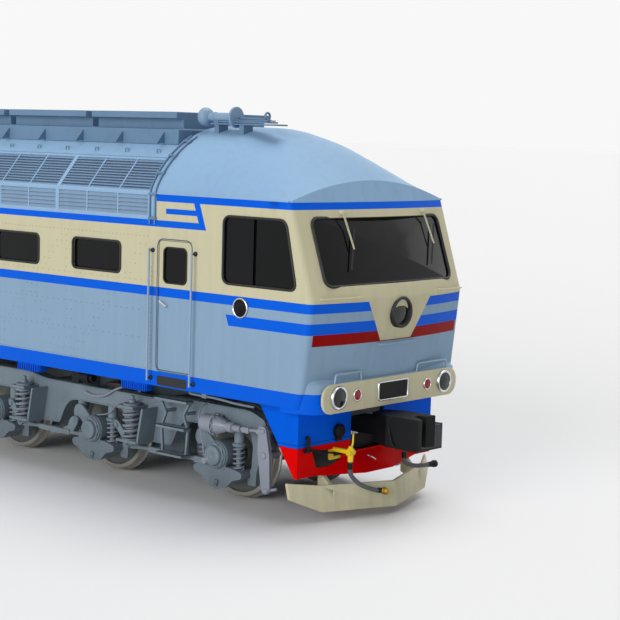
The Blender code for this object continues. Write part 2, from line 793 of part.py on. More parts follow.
def louvre_bank():
    """The filter louvres of one side: a low upright row and a high sloping row, cut into modules."""
    corner = (HALF_W, GUTTER_Z + 0.015)
    low = (HALF_W, LOUVRE_LOW_Z)
    rows = ((low, corner, SLATS_LOW), (corner, SHOULDER, SLATS_HIGH))

    def outline(toothed):
        points = []
        for start, end, count in rows:
            length = math.dist(start, end)
            along = ((end[0] - start[0]) / length, (end[1] - start[1]) / length)
            inward = (-along[1], along[0])
            pitch = (length - 2 * BANK_EDGE) / count
            points.append(start)
            for i in range(count):
                tip = BANK_EDGE + i * pitch
                back = tip + pitch * SLAT_SHARE
                deep = SLAT_DEPTH if toothed else 0.0
                points.append((start[0] + along[0] * tip, start[1] + along[1] * tip))
                points.append((start[0] + along[0] * back + inward[0] * deep,
                               start[1] + along[1] * back + inward[1] * deep))
            last = length - BANK_EDGE
            points.append((start[0] + along[0] * last, start[1] + along[1] * last))
        points.append(SHOULDER)
        points += [(SHOULDER[0] - 0.055 + 2 * TOUCH, SHOULDER[1] - 0.04 - 0.75 * TOUCH),
                   (HALF_W - LOUVRE_DEPTH, GUTTER_Z - 0.04 + TOUCH), (HALF_W - LOUVRE_DEPTH, LOUVRE_LOW_Z)]
        return points

    bar, teeth = outline(False), outline(True)
    length = 2 * ROOM_HALF / LOUVRE_MODULES
    rings = []
    for i in range(LOUVRE_MODULES):
        start = -ROOM_HALF + i * length
        for place, shape in ((0, bar), (BAR_W / 2, bar), (BAR_W / 2, teeth),
                             (length - BAR_W / 2, teeth), (length - BAR_W / 2, bar)):
            if place == 0 and i:
                continue
            rings.append([(start + place, -y, z) for y, z in shape])
    rings.append([(ROOM_HALF, -y, z) for y, z in bar])
    return loft_steps("louvre_bank_right", rings, "roof_blue")


def loft_steps(name, rings, colour):
    """A loft whose rings may share points where the shape steps: squashed faces are dropped."""
    obj = loft(name, rings, colour)
    work = bmesh.new()
    work.from_mesh(obj.data)
    bmesh.ops.dissolve_degenerate(work, edges=work.edges, dist=1e-6)
    bmesh.ops.recalc_face_normals(work, faces=work.faces)
    work.to_mesh(obj.data)
    work.free()
    return obj


def roof_hatches():
    """A raised base along the crown with one flat lid on a neck over every louvre module."""
    half, top = HATCH_BASE
    under = [(y, z + TOUCH) for y, z in ROOM_ROOF]
    outline = [(half, top)] + under + [(-y, z) for y, z in reversed(under[:-1])] + [(-half, top)]
    base = prism("roof_hatches", outline, 0, -ROOM_HALF + HATCH_END_GAP, ROOM_HALF - HATCH_END_GAP, "roof_blue")
    neck, shoulder = HATCH_NECK
    lid, crown = HATCH_LID
    profile = [(-neck, top - 0.01), (-neck, shoulder), (-lid, shoulder), (-lid, crown), (lid, crown),
               (lid, shoulder), (neck, shoulder), (neck, top - 0.01)]
    pitch = 2 * (ROOM_HALF - HATCH_END_GAP) / LOUVRE_MODULES
    hatches = []
    for i in range(LOUVRE_MODULES):
        start = -ROOM_HALF + HATCH_END_GAP + i * pitch
        hatches.append(prism("hatch", profile, 0, start + LID_GAP / 2, start + pitch - LID_GAP / 2))
    return join(base, hatches)


def roof_platform():
    """Two flat plates over the cab's crown, with the horn on its post and two lifting rings."""
    plates = [block("plate", (at(start), -half, low), (at(end), half, high), "roof_blue")
              for start, end, half, low, high in PLATFORM]
    plates[0].name = "roof_platform_front"
    _, _, half, low, _ = PLATFORM[0]
    parts = plates[1:]
    inside = GUTTER_Z + 0.54
    for x in PLATFORM_RESTS:
        parts.append(block("rest", (at(x) - 0.04, -half + 0.02, inside), (at(x) + 0.04, half - 0.02, low + 0.005)))
    parts.append(turned("horn", shifted(HORN, STATION), (0, HORN_Y, HORN_Z), 0, 12))
    parts.append(block("horn_post", (at(HORN_POST[0]), HORN_Y - 0.05, inside),
                       (at(HORN_POST[1]), HORN_Y + 0.05, HORN_Z - 0.03)))
    x, y, z = LIFTING_RING
    for side in (-1, 1):
        ring = turned("ring", [(at(x) - RING_HALF, RING_R), (at(x) + RING_HALF, RING_R)], (0, side * y, z), 0, 8)
        hole = turned("cutter", [(at(x) - 0.1, RING_HOLE_R), (at(x) + 0.1, RING_HOLE_R)], (0, side * y, z), 0, 6)
        parts.append(cut(ring, [hole]))
    platform = join(plates[0], parts)
    return cut(platform, [cab_solid("cutter", -TOUCH, SILL_Z)])


# Underframe, tank and engine


def underframe():
    half = HALF_W - WALL - TOUCH
    front = at(APRON_X) - JOIN
    deck = block("underframe", (-front, -half, SILL_Z), (front, half, SILL_Z + DECK_T), "bogie_grey")
    parts = []
    for side in (-1, 1):
        y = side * SILL_BEAM_Y
        parts.append(block("sill", (-PIVOT_X - SILL_BEAM_PAST, y - SILL_BEAM_W / 2, SILL_Z - SIDE_SILL_DROP),
                           (PIVOT_X + SILL_BEAM_PAST, y + SILL_BEAM_W / 2, SILL_Z + JOIN)))
    for end in (-1, 1):
        x = end * PIVOT_X
        parts.append(turned("pivot", [(CENTRE_PLATE_Z + TOUCH, CENTRE_PLATE_R), (SILL_Z + JOIN, CENTRE_PLATE_R)],
                            (x, 0, 0), 2, 16))
        parts.append(turned("king_pin", [(KING_PIN_LOW, KING_PIN_R), (SILL_Z + JOIN, KING_PIN_R)], (x, 0, 0), 2, 12))
        low, high = sorted((end * at(COUPLER_PIVOT_X - 0.3), end * (at(APRON_X) - APRON_T - 0.01)))
        parts.append(block("draft_box", (low, -DRAFT_HALF, COUPLER_Z + DRAFT_GAP_Z), (high, DRAFT_HALF, SILL_Z + JOIN)))
        pin = end * at(COUPLER_PIVOT_X)
        parts.append(turned("coupler_pin", [(COUPLER_Z - 0.12, COUPLER_PIN_R), (COUPLER_Z + 0.2, COUPLER_PIN_R)],
                            (pin, 0, 0), 2, 12))
    for end in (-1, 1):
        for side in (-1, 1):
            x, y = end * PAD_PLACE[0], side * PAD_PLACE[1]
            parts.append(block("jacking_pad", (x - PAD_HALF, y - PAD_HALF, SILL_Z - PAD_DROP),
                               (x + PAD_HALF, y + PAD_HALF, SILL_Z + JOIN)))
    return join(deck, parts)


def fuel_tank():
    low, high = TANK_Z
    wide = TANK_HALF_W
    # the right half of the section: the belly slopes up to the side, which bends in under the sill
    half = [(wide - 0.47, low), (wide, low + 0.35), (wide, high - 0.12), (wide - 0.12, high)]
    outline = half + [(-y, z) for y, z in reversed(half)]
    return prism("fuel_tank", outline, 0, -TANK_HALF, TANK_HALF, "bogie_grey")


def engine_block():
    length, half = ENGINE_HALF
    shoulder_y, shoulder_z = ENGINE_SHOULDER
    base = SILL_Z + DECK_T + TOUCH
    outline = [(-half, base), (half, base), (half, shoulder_z), (shoulder_y, ENGINE_TOP), (-shoulder_y, ENGINE_TOP),
               (-half, shoulder_z)]
    return prism("engine_block", outline, 0, -length, length, "bogie_grey")


# Cab front below the windows


def lamp_panel():
    """The oblong panel with two headlights, two tail lamps and a blank number plate."""
    low, high = LAMP_PANEL_Z
    front = at(LAMP_PANEL_X)
    panel = prism("lamp_panel_front", rounded((-LAMP_PANEL_HALF, low), (LAMP_PANEL_HALF, high), 0.16, 4),
                  0, front - LAMP_PANEL_T, front, "cream")
    middle = (low + high) / 2 + 0.01
    pieces = []
    for y, radius, sides in LAMPS:
        for side in (-1, 1):
            profile = [(front - 0.01, radius), (front + LAMP_OUT, radius), (front + LAMP_OUT, radius * 0.85),
                       (front + LAMP_OUT / 2, radius * 0.7)]
            pieces.append(turned("lamp", profile, (0, side * y, middle), 0, sides))
    wide, tall = PLATE_HALF
    pieces.append(prism("plate", rounded((-wide, middle - tall), (wide, middle + tall), 0.03, 2), 0,
                        front - 0.01, front + PLATE_OUT))
    return join(panel, pieces)


def end_apron():
    """The bright skirt below the buffer line, open for the coupler, with a bent deflector under it."""
    top = SILL_Z - TOUCH
    x = at(APRON_X)
    wall = block("end_apron_front", (x - APRON_T, -APRON_HALF, APRON_LOW), (x, APRON_HALF, top), "bright_blue")
    half, low, high = COUPLER_SLOT
    holes = [block("cutter", (x - 0.2, -half, low), (x + 0.2, half, high)),
             prism("cutter", APRON_HATCH, 0, x - 0.2, x + 0.2)]
    for y in COCKS_Y:
        holes.append(turned("cutter", [(x - 0.2, COCK_PIPE_R + RUNNING), (x + 0.2, COCK_PIPE_R + RUNNING)],
                            (0, y, COCK_Z), 0, 10))
    cut(wall, holes)
    pieces = []
    outline = [(at(APRON_CHEEK_X), top), (x - 0.001, top), (x - 0.001, APRON_LOW), (x - JOIN, APRON_LOW),
               (at(APRON_CHEEK_X), SILL_Z - 0.03)]
    for side in (-1, 1):
        ys = sorted((side * (APRON_HALF - APRON_T), side * (APRON_HALF - 0.0005)))
        pieces.append(prism("cheek", outline, 1, ys[0], ys[1]))
    pieces.append(deflector(x))
    y, z, radius = SOCKET
    socket = [(x - 0.01, radius), (x + 0.05, radius), (x + 0.07, radius * 0.6)]
    pieces.append(turned("socket", socket, (0, y, z), 0, 10))
    return join(wall, pieces)


def deflector(x):
    """A hollow wedge: its top edge lies under the coupler's opening and its low edge runs out to both sides."""
    top_half, top_z, out, low_half, low_z, foot_half = DEFLECTOR
    near = x - 0.005
    foot_z = APRON_LOW + 0.001
    rings = []
    for back in (0.0, DEFLECTOR_T):
        rings.append([
            (near, -top_half, top_z - back), (near, top_half, top_z - back), (near, foot_half - 2 * back, foot_z),
            (x + out - back, low_half - back, low_z), (x + out - back, -low_half + back, low_z),
            (near, -foot_half + 2 * back, foot_z),
        ])
    front, rear = rings
    faces = []
    for ring, base in ((front, 0), (rear, 6)):
        faces += [(base, base + 1, base + 3, base + 4), (base + 1, base + 2, base + 3), (base + 4, base + 5, base)]
    for i in range(6):
        after = (i + 1) % 6
        faces.append((i, after, after + 6, i + 6))
    return make("deflector", front + rear, faces)


def plow():
    """The V-shaped rail guard on two arms."""
    rows = [(x, low, high, -y) for x, low, high, y in PLOW] + [row for row in reversed(PLOW[:-1])]
    rings = []
    for x, low, high, y in rows:
        face = at(x)
        rings.append([(face, y, low), (face - PLOW_LEAN, y, high), (face - PLOW_LEAN - PLOW_T, y, high),
                      (face - PLOW_T, y, low)])
    guard = loft("plow_front", rings, "cream")
    arms = []
    for side in (-1, 1):
        y = side * PLOW_ARM_Y
        arms.append(prism("arm", shifted(PLOW_ARM, STATION), 1, y - 0.03, y + 0.03))
    return join(guard, arms)


def coupler():
    """The automatic coupler: a shank on its pin, a head with a big and a small tooth, and the jumper box."""
    pin = at(COUPLER_PIVOT_X)
    bore = COUPLER_PIN_R + RUNNING
    low, high = COUPLER_Z - SHANK_Z, COUPLER_Z + SHANK_Z
    top = COUPLER_Z + DRAFT_GAP_Z - TOUCH
    shank = prism("coupler_front", rounded((pin - 0.1, -0.1), (at(1.75), 0.1), 0.09, 3), 2, low, high, "black")
    pieces = [prism("head", shifted(COUPLER_HEAD, STATION), 2, COUPLER_Z - COUPLER_HEAD_HALF,
                    COUPLER_Z + COUPLER_HEAD_HALF)]
    for near, far in (JUMPER_PLATE, JUMPER_BOX):
        pieces.append(block("jumper", (at(near[0]), *near[1:]), (at(far[0]), *far[1:])))
    pieces.append(turned("seat", [(high - 0.01, bore + 0.034), (top, bore + 0.034)], (pin, 0, 0), 2, 12))
    join(shank, pieces)
    return cut(shank, [turned("cutter", [(low - 0.1, bore), (top + 0.1, bore)], (pin, 0, 0), 2, 12)])


# Brake hoses: the two cocks stand at these places across, and each route is a list of points chosen
# by hand, from its cock to its coupling head
COCKS_Y = (-0.66, 0.45)
#               forward, across, height
HOSE_ROUTES = {
    "right": (
        (1.72, -0.66, 0.73), (1.72, -0.66, 0.61), (1.735, -0.645, 0.55), (1.77, -0.605, 0.49), (1.82, -0.56, 0.44),
        (1.88, -0.49, 0.40), (1.93, -0.40, 0.37), (1.95, -0.32, 0.355),
    ),
    "left": (
        (1.72, 0.45, 0.73), (1.72, 0.45, 0.61), (1.735, 0.47, 0.57), (1.77, 0.52, 0.54), (1.81, 0.59, 0.525),
        (1.84, 0.67, 0.52), (1.86, 0.75, 0.52), (1.87, 0.82, 0.52),
    ),
}


def air_cocks():
    """The two end cocks; their header pipe lies on the inside of the skirt and their pipes pass through it."""
    back = at(APRON_X) - APRON_T - TOUCH
    out = at(COCK_X)
    ends = (COCKS_Y[0] - COCK_PIPE_R, COCKS_Y[1] + COCK_PIPE_R)
    header = block("air_cocks_front", (back - HEADER_SIDE, ends[0], COCK_Z - 0.14),
                   (back, ends[1], COCK_Z - 0.14 + HEADER_SIDE), "cock_yellow")
    pieces = []
    for y in COCKS_Y:
        pieces.append(block("riser", (back - HEADER_SIDE, y - COCK_PIPE_R, COCK_Z - 0.12),
                            (back, y + COCK_PIPE_R, COCK_Z + COCK_PIPE_R)))
        pieces.append(turned("pipe", [(back - 0.02, COCK_PIPE_R), (out, COCK_PIPE_R)], (0, y, COCK_Z), 0, 10))
        pieces.append(turned("body", [(HOSE_TOP_Z + TOUCH, 0.035), (COCK_Z + 0.05, 0.045)], (out, y, 0), 2, 10))
    return join(header, pieces)


def hose_line(route):
    """Points along one smooth curve through the route's points, two diameters apart."""
    spots = [Vector((at(x), y, z)) for x, y, z in route]
    guide = bpy.data.curves.new("guide", "CURVE")
    guide.dimensions = "3D"
    line = guide.splines.new("BEZIER")
    line.bezier_points.add(len(spots) - 1)
    for point, spot in zip(line.bezier_points, spots):
        point.co = spot
        point.handle_left_type = point.handle_right_type = "AUTO"
    for point in line.bezier_points[:2]:
        point.handle_left_type = "VECTOR"
    line.bezier_points[0].handle_right_type = "VECTOR"
    guide_object = bpy.data.objects.new("guide", guide)
    bpy.context.scene.collection.objects.link(guide_object)
    bpy.context.view_layer.update()
    graph = bpy.context.evaluated_depsgraph_get()
    fine = [vertex.co.copy() for vertex in guide_object.evaluated_get(graph).to_mesh().vertices]
    bpy.data.objects.remove(guide_object, do_unlink=True)
    length = sum((b - a).length for a, b in zip(fine, fine[1:]))
    count = round(length / (4 * HOSE_R))
    points, walked, target = [fine[0]], 0.0, length / count
    for a, b in zip(fine, fine[1:]):
        walked += (b - a).length
        if walked >= target * (1 - 1e-6) and len(points) < count:
            points.append(b)
            target += length / count
    return points + [fine[-1]]


def hose(name, line):
    """A tube along the points, closed at both ends."""
    curve = bpy.data.curves.new(name, "CURVE")
    curve.dimensions = "3D"
    curve.bevel_depth = HOSE_R
    curve.bevel_resolution = 2
    curve.use_fill_caps = True
    tube = curve.splines.new("POLY")
    tube.points.add(len(line) - 1)
    for spot, point in zip(tube.points, line):
        spot.co = (*point, 1)
    obj = bpy.data.objects.new(name, curve)
    bpy.context.scene.collection.objects.link(obj)
    curve.materials.append(paint("hose_rubber"))
    return obj


def coupling_head(name, line):
    """The coupling at a hose's far end: a short sleeve square to the tube and a wider head on it."""
    ahead = (line[-1] - line[-2]).normalized()
    start = line[-1] + ahead * TOUCH
    sleeve = bar(name, start, start + ahead * SLEEVE_LENGTH, COUPLING_R, 8, "black")
    near = start + ahead * (SLEEVE_LENGTH - 0.005)
    return join(sleeve, [bar("head", near, near + ahead * HEAD_LENGTH, COUPLING_HEAD_R, 8)])


# Running gear


def wheelset(name, x):
    inner = WHEEL_INNER_Y
    to_corner = 1 / math.cos(math.pi / WHEEL_SIDES)
    tread = WHEEL_R * to_corner
    flange = (WHEEL_R + FLANGE) * to_corner
    # along the axle, radius
    half = [
        (inner, AXLE_R), (inner, flange), (inner + FLANGE_T, tread), (inner + TREAD_WIDTH, tread),
        (inner + TREAD_WIDTH, tread - RIM), (inner + WEB, HUB_R), (inner + HUB_WIDTH, JOURNAL_R),
        (JOURNAL_END_Y, JOURNAL_R),
    ]
    profile = [(-y, r) for y, r in reversed(half)] + half
    obj = turned(name, profile, (x, 0, AXLE_Z), 1, WHEEL_SIDES, "wheel_steel")
    return set_origin(obj, (x, 0, AXLE_Z))


def axle_station(x, side):
    """One axle box with its cap, saddle, two small springs, wedge arm and guide leg."""
    pieces = []

    def ys(a, b):
        return sorted((side * a, side * b))

    box = [(side * y, radius) for y, radius in AXLE_BOX]
    pieces.append(turned("box", box, (x, 0, AXLE_Z), 1, 10))
    pieces.append(prism("saddle", shifted(SADDLE, x), 1, *ys(*SADDLE_Y)))
    for dx in SMALL_SPRING_X:
        spring = [(SADDLE[0][1] - 0.01, SMALL_SPRING_R), (FRAME_LOW + JOIN, SMALL_SPRING_R)]
        pieces.append(turned("spring", spring, (x + dx, side * SMALL_SPRING_Y, 0), 2, 6))
    pieces.append(prism("arm", shifted(WEDGE_ARM, x), 1, *ys(1.24, SADDLE_Y[1] - 0.002)))
    pieces.append(prism("guide_leg", shifted(GUIDE_LEG, x), 1, *ys(*LEG_Y)))
    return pieces


def big_spring(x, side):
    """A coil spring drawn as its outline, on a seat that hangs from the frame by a gusset."""
    low, high = BIG_SPRING_Z
    y = side * BIG_SPRING_Y
    start, end = low - SPRING_SUNK, high + SPRING_SUNK
    pitch = (end - start) / BIG_SPRING_COILS
    profile = []
    for i in range(BIG_SPRING_COILS):
        z = start + i * pitch
        profile += [(z, BIG_SPRING_R - SPRING_WAVE), (z + pitch / 2, BIG_SPRING_R)]
    profile.append((end, BIG_SPRING_R - SPRING_WAVE))
    pieces = [turned("big_spring", profile, (x, y, 0), 2, 8)]
    ys = sorted((side * (FRAME_Y + FRAME_T - 0.02), side * (BIG_SPRING_Y + BIG_SPRING_R)))
    pieces.append(block("top_seat", (x - SEAT_HALF, ys[0], high), (x + SEAT_HALF, ys[1], high + SEAT_T)))
    pieces.append(block("low_seat", (x - GUSSET_FOOT[0], ys[0], low - SEAT_T), (x + GUSSET_FOOT[1], ys[1], low)))
    foot, head = low - 0.01, high + SEAT_T - 0.01
    gusset = [(x + GUSSET_FOOT[0], foot), (x + GUSSET_FOOT[1], foot), (x + GUSSET_HEAD[1], head),
              (x + GUSSET_HEAD[0], head)]
    pieces.append(prism("gusset", gusset, 1, *ys))
    return pieces


def step_ladder(side):
    """Three treads on two bent hangers under the cab door, held out from the side frame by two arms."""
    face = FRAME_Y + FRAME_T
    rear, front = (at(x) for x in LADDER_X)
    low, middle, top = (z for z, _ in LADDER_TREADS)
    hanger = sorted((side * LADDER_Y[0], side * (LADDER_Y[0] + LADDER_BAR)))
    arm = sorted((side * (face - LADDER_BAR), side * (LADDER_Y[0] + 0.001)))
    tread = sorted((side * (LADDER_Y[0] - 0.02), side * LADDER_Y[1]))
    # each hanger's bends: along from its own end of the top tread towards the other, height
    bends = ((0.0, top + 0.01), (0.12, LADDER_ARM_Z), (0.04, middle), (0.07, low))
    pieces = []
    for x, way in ((rear, 1), (front, -1)):
        outline = [(x + way * along, z) for along, z in bends]
        outline += [(x + way * (along + LADDER_BAR), z) for along, z in reversed(bends)]
        pieces.append(prism("hanger", outline, 1, *hanger))
        ends = sorted((x + way * 0.10, x + way * (0.10 + LADDER_BAR)))
        pieces.append(block("arm", (ends[0], arm[0], LADDER_ARM_Z), (ends[1], arm[1], LADDER_ARM_Z + LADDER_BAR)))
    for z, inward in LADDER_TREADS:
        pieces.append(block("tread", (rear + inward, tread[0], z), (front - inward, tread[1], z + TREAD_T)))
    return pieces


def bogie_frame():
    """Side frames, cross beams, centre beam, motors, axle boxes, springs and brake gear as one casting."""
    axles = [STATION, STATION - GAP_LEADING, STATION - BOGIE_BASE]
    front, rear = axles[0] + FRAME_AHEAD, axles[2] - FRAME_BEHIND
    beams = (axles[0] - GAP_LEADING / 2, axles[2] + GAP_TRAILING / 2)

    # the side frame comes down between the axles and arches over each of them
    knee = FRAME_LOW - ARCH_SHOULDER
    under = [(rear, FRAME_LOW)]
    for x in reversed(beams):
        under += [(x - 0.62, FRAME_LOW), (x - 0.48, knee), (x - 0.36, FRAME_FOOT_Z), (x + 0.30, FRAME_FOOT_Z),
                  (x + 0.42, knee), (x + 0.56, FRAME_LOW)]
    under += [(front, FRAME_LOW)]
    outline = under + [(front, FRAME_TOP - FRAME_END_DROP), (front - 0.25, FRAME_TOP), (beams[0] + 0.3, FRAME_TOP),
                       (beams[0], FRAME_TOP - FRAME_DIP), (beams[1], FRAME_TOP - FRAME_DIP),
                       (beams[1] - 0.3, FRAME_TOP), (rear + 0.25, FRAME_TOP), (rear, FRAME_TOP - FRAME_END_DROP)]
    frame = prism("bogie_front_frame", outline, 1, -FRAME_Y - FRAME_T, -FRAME_Y, "bogie_grey")
    pieces = [prism("side", outline, 1, FRAME_Y, FRAME_Y + FRAME_T)]
    reach = FRAME_Y + FRAME_T / 2
    for x in beams:
        pieces.append(block("beam", (x - BEAM_HALF, -reach, BEAM_Z[0]), (x + BEAM_HALF, reach, BEAM_Z[1])))
    for x in (front - 0.10, rear + 0.10):
        pieces.append(block("end_beam", (x - END_BEAM_HALF, -reach, END_BEAM_Z[0]),
                            (x + END_BEAM_HALF, reach, END_BEAM_Z[1])))
    pieces.append(block("centre_beam", (beams[1] - 0.1, -CENTRE_BEAM_HALF, CENTRE_BEAM_Z[0]),
                        (beams[0] + 0.1, CENTRE_BEAM_HALF, CENTRE_BEAM_Z[1])))
    pieces.append(turned("centre_plate", [(CENTRE_BEAM_Z[1] - JOIN, CENTRE_PLATE_R), (CENTRE_PLATE_Z, CENTRE_PLATE_R)],
                         (PIVOT_X, 0, 0), 2, 16))
    belly, knuckle, head = MOTOR_Z
    for number, start, end in MOTORS:
        low, high = axles[number] + start, axles[number] + end
        outline = [(low, knuckle), (low + MOTOR_SLOPE, belly), (high - MOTOR_SLOPE, belly), (high, knuckle),
                   (high, head), (low, head)]
        pieces.append(prism("motor", outline, 1, -MOTOR_HALF, MOTOR_HALF))
    for side in (-1, 1):
        for x in axles:
            pieces += axle_station(x, side)
        for x in beams:
            pieces += big_spring(x - BIG_SPRING_BACK, side)
        pieces += link_rods(axles, side)
        pieces += brake_gear(axles[0], side)
        pieces += step_ladder(side)
    join(frame, pieces)
    bore = JOURNAL_END_Y + TOUCH
    holes = [turned("cutter", [(-bore, JOURNAL_R + RUNNING), (bore, JOURNAL_R + RUNNING)], (x, 0, AXLE_Z), 1, 12)
             for x in axles]
    holes.append(turned("cutter", [(CENTRE_BEAM_Z[0] - 0.1, KING_PIN_HOLE_R), (CENTRE_PLATE_Z + 0.1, KING_PIN_HOLE_R)],
                        (PIVOT_X, 0, 0), 2, 16))
    cut(frame, holes)
    return set_origin(frame, (PIVOT_X, 0, 0))


def link_rods(axles, side):
    """The rods that guide the axle boxes, with their lugs under the big springs and on the boxes."""
    y = side * (LINK_Y[0] + LINK_R)
    lug_y = sorted(side * edge for edge in LINK_Y)
    plate_y = sorted((side * 1.24, side * LINK_Y[1]))
    pieces = []
    for x in axles[:2]:
        spring = x - GAP_LEADING / 2 - BIG_SPRING_BACK
        pieces.append(bar("link", (spring + 0.1, y, LINK_Z), (x - 0.30, y, LINK_Z), LINK_R))
        pieces.append(prism("link_lug", shifted(LINK_LUG, spring), 1, *lug_y))
    for x in axles[1:]:
        pieces.append(prism("link_plate", shifted(LINK_PLATE, x), 1, *plate_y))
    return pieces


def brake_gear(x, side):
    """The brake cylinder over the leading axle, its push rod and the lever in front of the wheel."""
    y = side * CYLINDER_Y
    start, end, radius = PUSH_ROD
    pieces = [turned("brake_cylinder", shifted(BRAKE_CYLINDER, x), (0, y, CYLINDER_Z), 0, 8)]
    pieces.append(bar("push_rod", (x + start, y, CYLINDER_Z), (x + end, y, CYLINDER_Z + 0.02), radius))
    pieces.append(prism("lever", shifted(LEVER, x), 1, *sorted(side * edge for edge in LEVER_Y)))
    along, height, radius = LEVER_PIN
    boss = sorted((side * (FRAME_Y + 0.05), side * (LEVER_Y[1] + 0.02)))
    pieces.append(turned("lever_pin", [(edge, radius) for edge in boss], (x + along, 0, height), 1, 8))
    pieces.append(prism("lever_bracket", shifted(LEVER_BRACKET, x), 1, *sorted(side * edge for edge in BRACKET_Y)))
    return pieces


# Assembly

underframe()
fuel_tank()
engine_block()
engine_room()
louvre = louvre_bank()
copied(louvre, "louvre_bank_left", MIRROR_Y)
roof_hatches()


def both_ends(obj, name=None):
    """Adds the same piece at the rear, turned about the middle of the locomotive."""
    spot = obj.location.copy()
    rear = copied(obj, name or obj.name.replace("front", "rear"), TURN)
    rear.location = TURN @ spot
    return rear


def both_sides(obj, name):
    spot = obj.location.copy()
    other = copied(obj, name, MIRROR_Y)
    other.location = MIRROR_Y @ spot
    return other


for piece in (cab_shell(), windscreen(), roof_platform(), lamp_panel(), end_apron(), plow(), air_cocks()):
    both_ends(piece)

for piece in (cab_window(), room_glass()):
    left = both_sides(piece, piece.name.replace("right", "left"))
    both_ends(piece, piece.name.replace("front_right", "rear_left"))
    both_ends(left, piece.name.replace("front_right", "rear_right"))

leaf, pane = door_leaf(), door_glass()
hinge_x, hinge_y = door_hinge()
for piece in (leaf, pane):
    set_origin(piece, (hinge_x, hinge_y, 0))
    left = both_sides(piece, piece.name.replace("right", "left"))
    both_ends(piece, piece.name.replace("front_right", "rear_left"))
    both_ends(left, piece.name.replace("front_right", "rear_right"))

both_ends(set_origin(coupler(), (at(COUPLER_PIVOT_X), 0, COUPLER_Z)))

for side, other_side in (("right", "left"), ("left", "right")):
    line = hose_line(HOSE_ROUTES[side])
    turned_line = [TURN @ point for point in line]
    for end_name, points in ((f"front_{side}", line), (f"rear_{other_side}", turned_line)):
        hose(f"hose_{end_name}", points)
        coupling_head(f"hose_coupling_{end_name}", points)

both_ends(bogie_frame())
for number, x in enumerate((STATION, STATION - GAP_LEADING, STATION - BOGIE_BASE), 1):
    wheelset(f"wheelset_{number}", x)
    wheelset(f"wheelset_{7 - number}", -x)
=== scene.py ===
# %% [markdown]
# A diesel passenger locomotive, dressed for its picture. The frame that is loaded first holds every
# solid at its real size; this file adds the finish of each surface and the pieces that are too fine for
# a solid model. +X points to the front cab, +Y to the left, and z = 0 is the lowest point of the wheels.

# %% Load the frame
import json
import math

import bmesh
import bpy
import numpy as np
from mathutils import Matrix, Vector

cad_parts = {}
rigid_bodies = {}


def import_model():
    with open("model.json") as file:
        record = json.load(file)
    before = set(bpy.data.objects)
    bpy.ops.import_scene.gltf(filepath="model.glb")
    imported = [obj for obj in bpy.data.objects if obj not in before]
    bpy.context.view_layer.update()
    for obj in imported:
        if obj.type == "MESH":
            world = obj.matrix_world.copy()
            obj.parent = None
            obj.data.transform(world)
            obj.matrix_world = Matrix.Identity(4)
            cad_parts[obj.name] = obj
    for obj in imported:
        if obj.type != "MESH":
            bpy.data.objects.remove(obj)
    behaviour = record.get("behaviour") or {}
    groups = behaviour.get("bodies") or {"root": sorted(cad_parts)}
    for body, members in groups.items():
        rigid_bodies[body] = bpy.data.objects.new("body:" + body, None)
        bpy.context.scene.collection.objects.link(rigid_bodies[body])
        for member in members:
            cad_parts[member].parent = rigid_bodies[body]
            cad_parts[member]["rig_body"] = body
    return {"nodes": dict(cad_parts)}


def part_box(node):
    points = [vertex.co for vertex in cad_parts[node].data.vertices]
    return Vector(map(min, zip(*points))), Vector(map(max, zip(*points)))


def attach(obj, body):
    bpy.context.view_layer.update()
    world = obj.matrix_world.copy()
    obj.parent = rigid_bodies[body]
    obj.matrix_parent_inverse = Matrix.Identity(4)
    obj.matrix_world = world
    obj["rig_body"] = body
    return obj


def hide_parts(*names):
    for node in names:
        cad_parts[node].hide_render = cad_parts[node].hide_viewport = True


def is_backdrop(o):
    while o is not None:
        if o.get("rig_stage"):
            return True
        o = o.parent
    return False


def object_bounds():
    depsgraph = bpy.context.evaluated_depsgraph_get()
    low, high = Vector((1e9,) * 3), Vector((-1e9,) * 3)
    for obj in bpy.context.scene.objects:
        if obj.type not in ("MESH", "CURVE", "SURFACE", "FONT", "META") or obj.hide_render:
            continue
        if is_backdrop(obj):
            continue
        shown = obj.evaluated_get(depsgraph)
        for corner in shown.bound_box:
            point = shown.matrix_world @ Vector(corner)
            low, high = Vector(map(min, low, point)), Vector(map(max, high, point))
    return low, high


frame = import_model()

cad_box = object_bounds()
print("solids:", len(frame["nodes"]))

# %% [markdown]
# The driving sizes come from the frame's own boxes, so that everything below follows the solids. Most
# places near a cab are measured from the leading axle, as a drawing would do it.

# %% Driving sizes
AXLES = [sum(c.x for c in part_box(f"wheelset_{i}")) / 2 for i in (1, 2, 3)]
STATION = AXLES[0]
AXLE_Z = sum(c.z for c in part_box("wheelset_1")) / 2
room_low, room_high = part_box("engine_room_shell")
HALF_W, SILL_Z, CAB_REAR = room_high.y, room_low.z, room_high.x
WALL = 0.06
print("leading axle at", round(STATION, 3), "half width", round(HALF_W, 3))


def at(distance):
    """World x of a place measured from the leading axle."""
    return STATION + distance


# %% [markdown]
# The picture is taken from the right of the front end, a little above the middle of the body, with a long
# lens. The camera's place, its two angles and its small roll were worked out from straight edges of the
# body, whose real places are known.

# %% Camera
EYE = Vector((22.546, -15.975, 4.737))
YAW, PITCH, ROLL = 2.28069, -0.10693, 0.02854
LENS, SENSOR = 93.15, 36  # millimetres
NEAR, FAR = 0.5, 3000

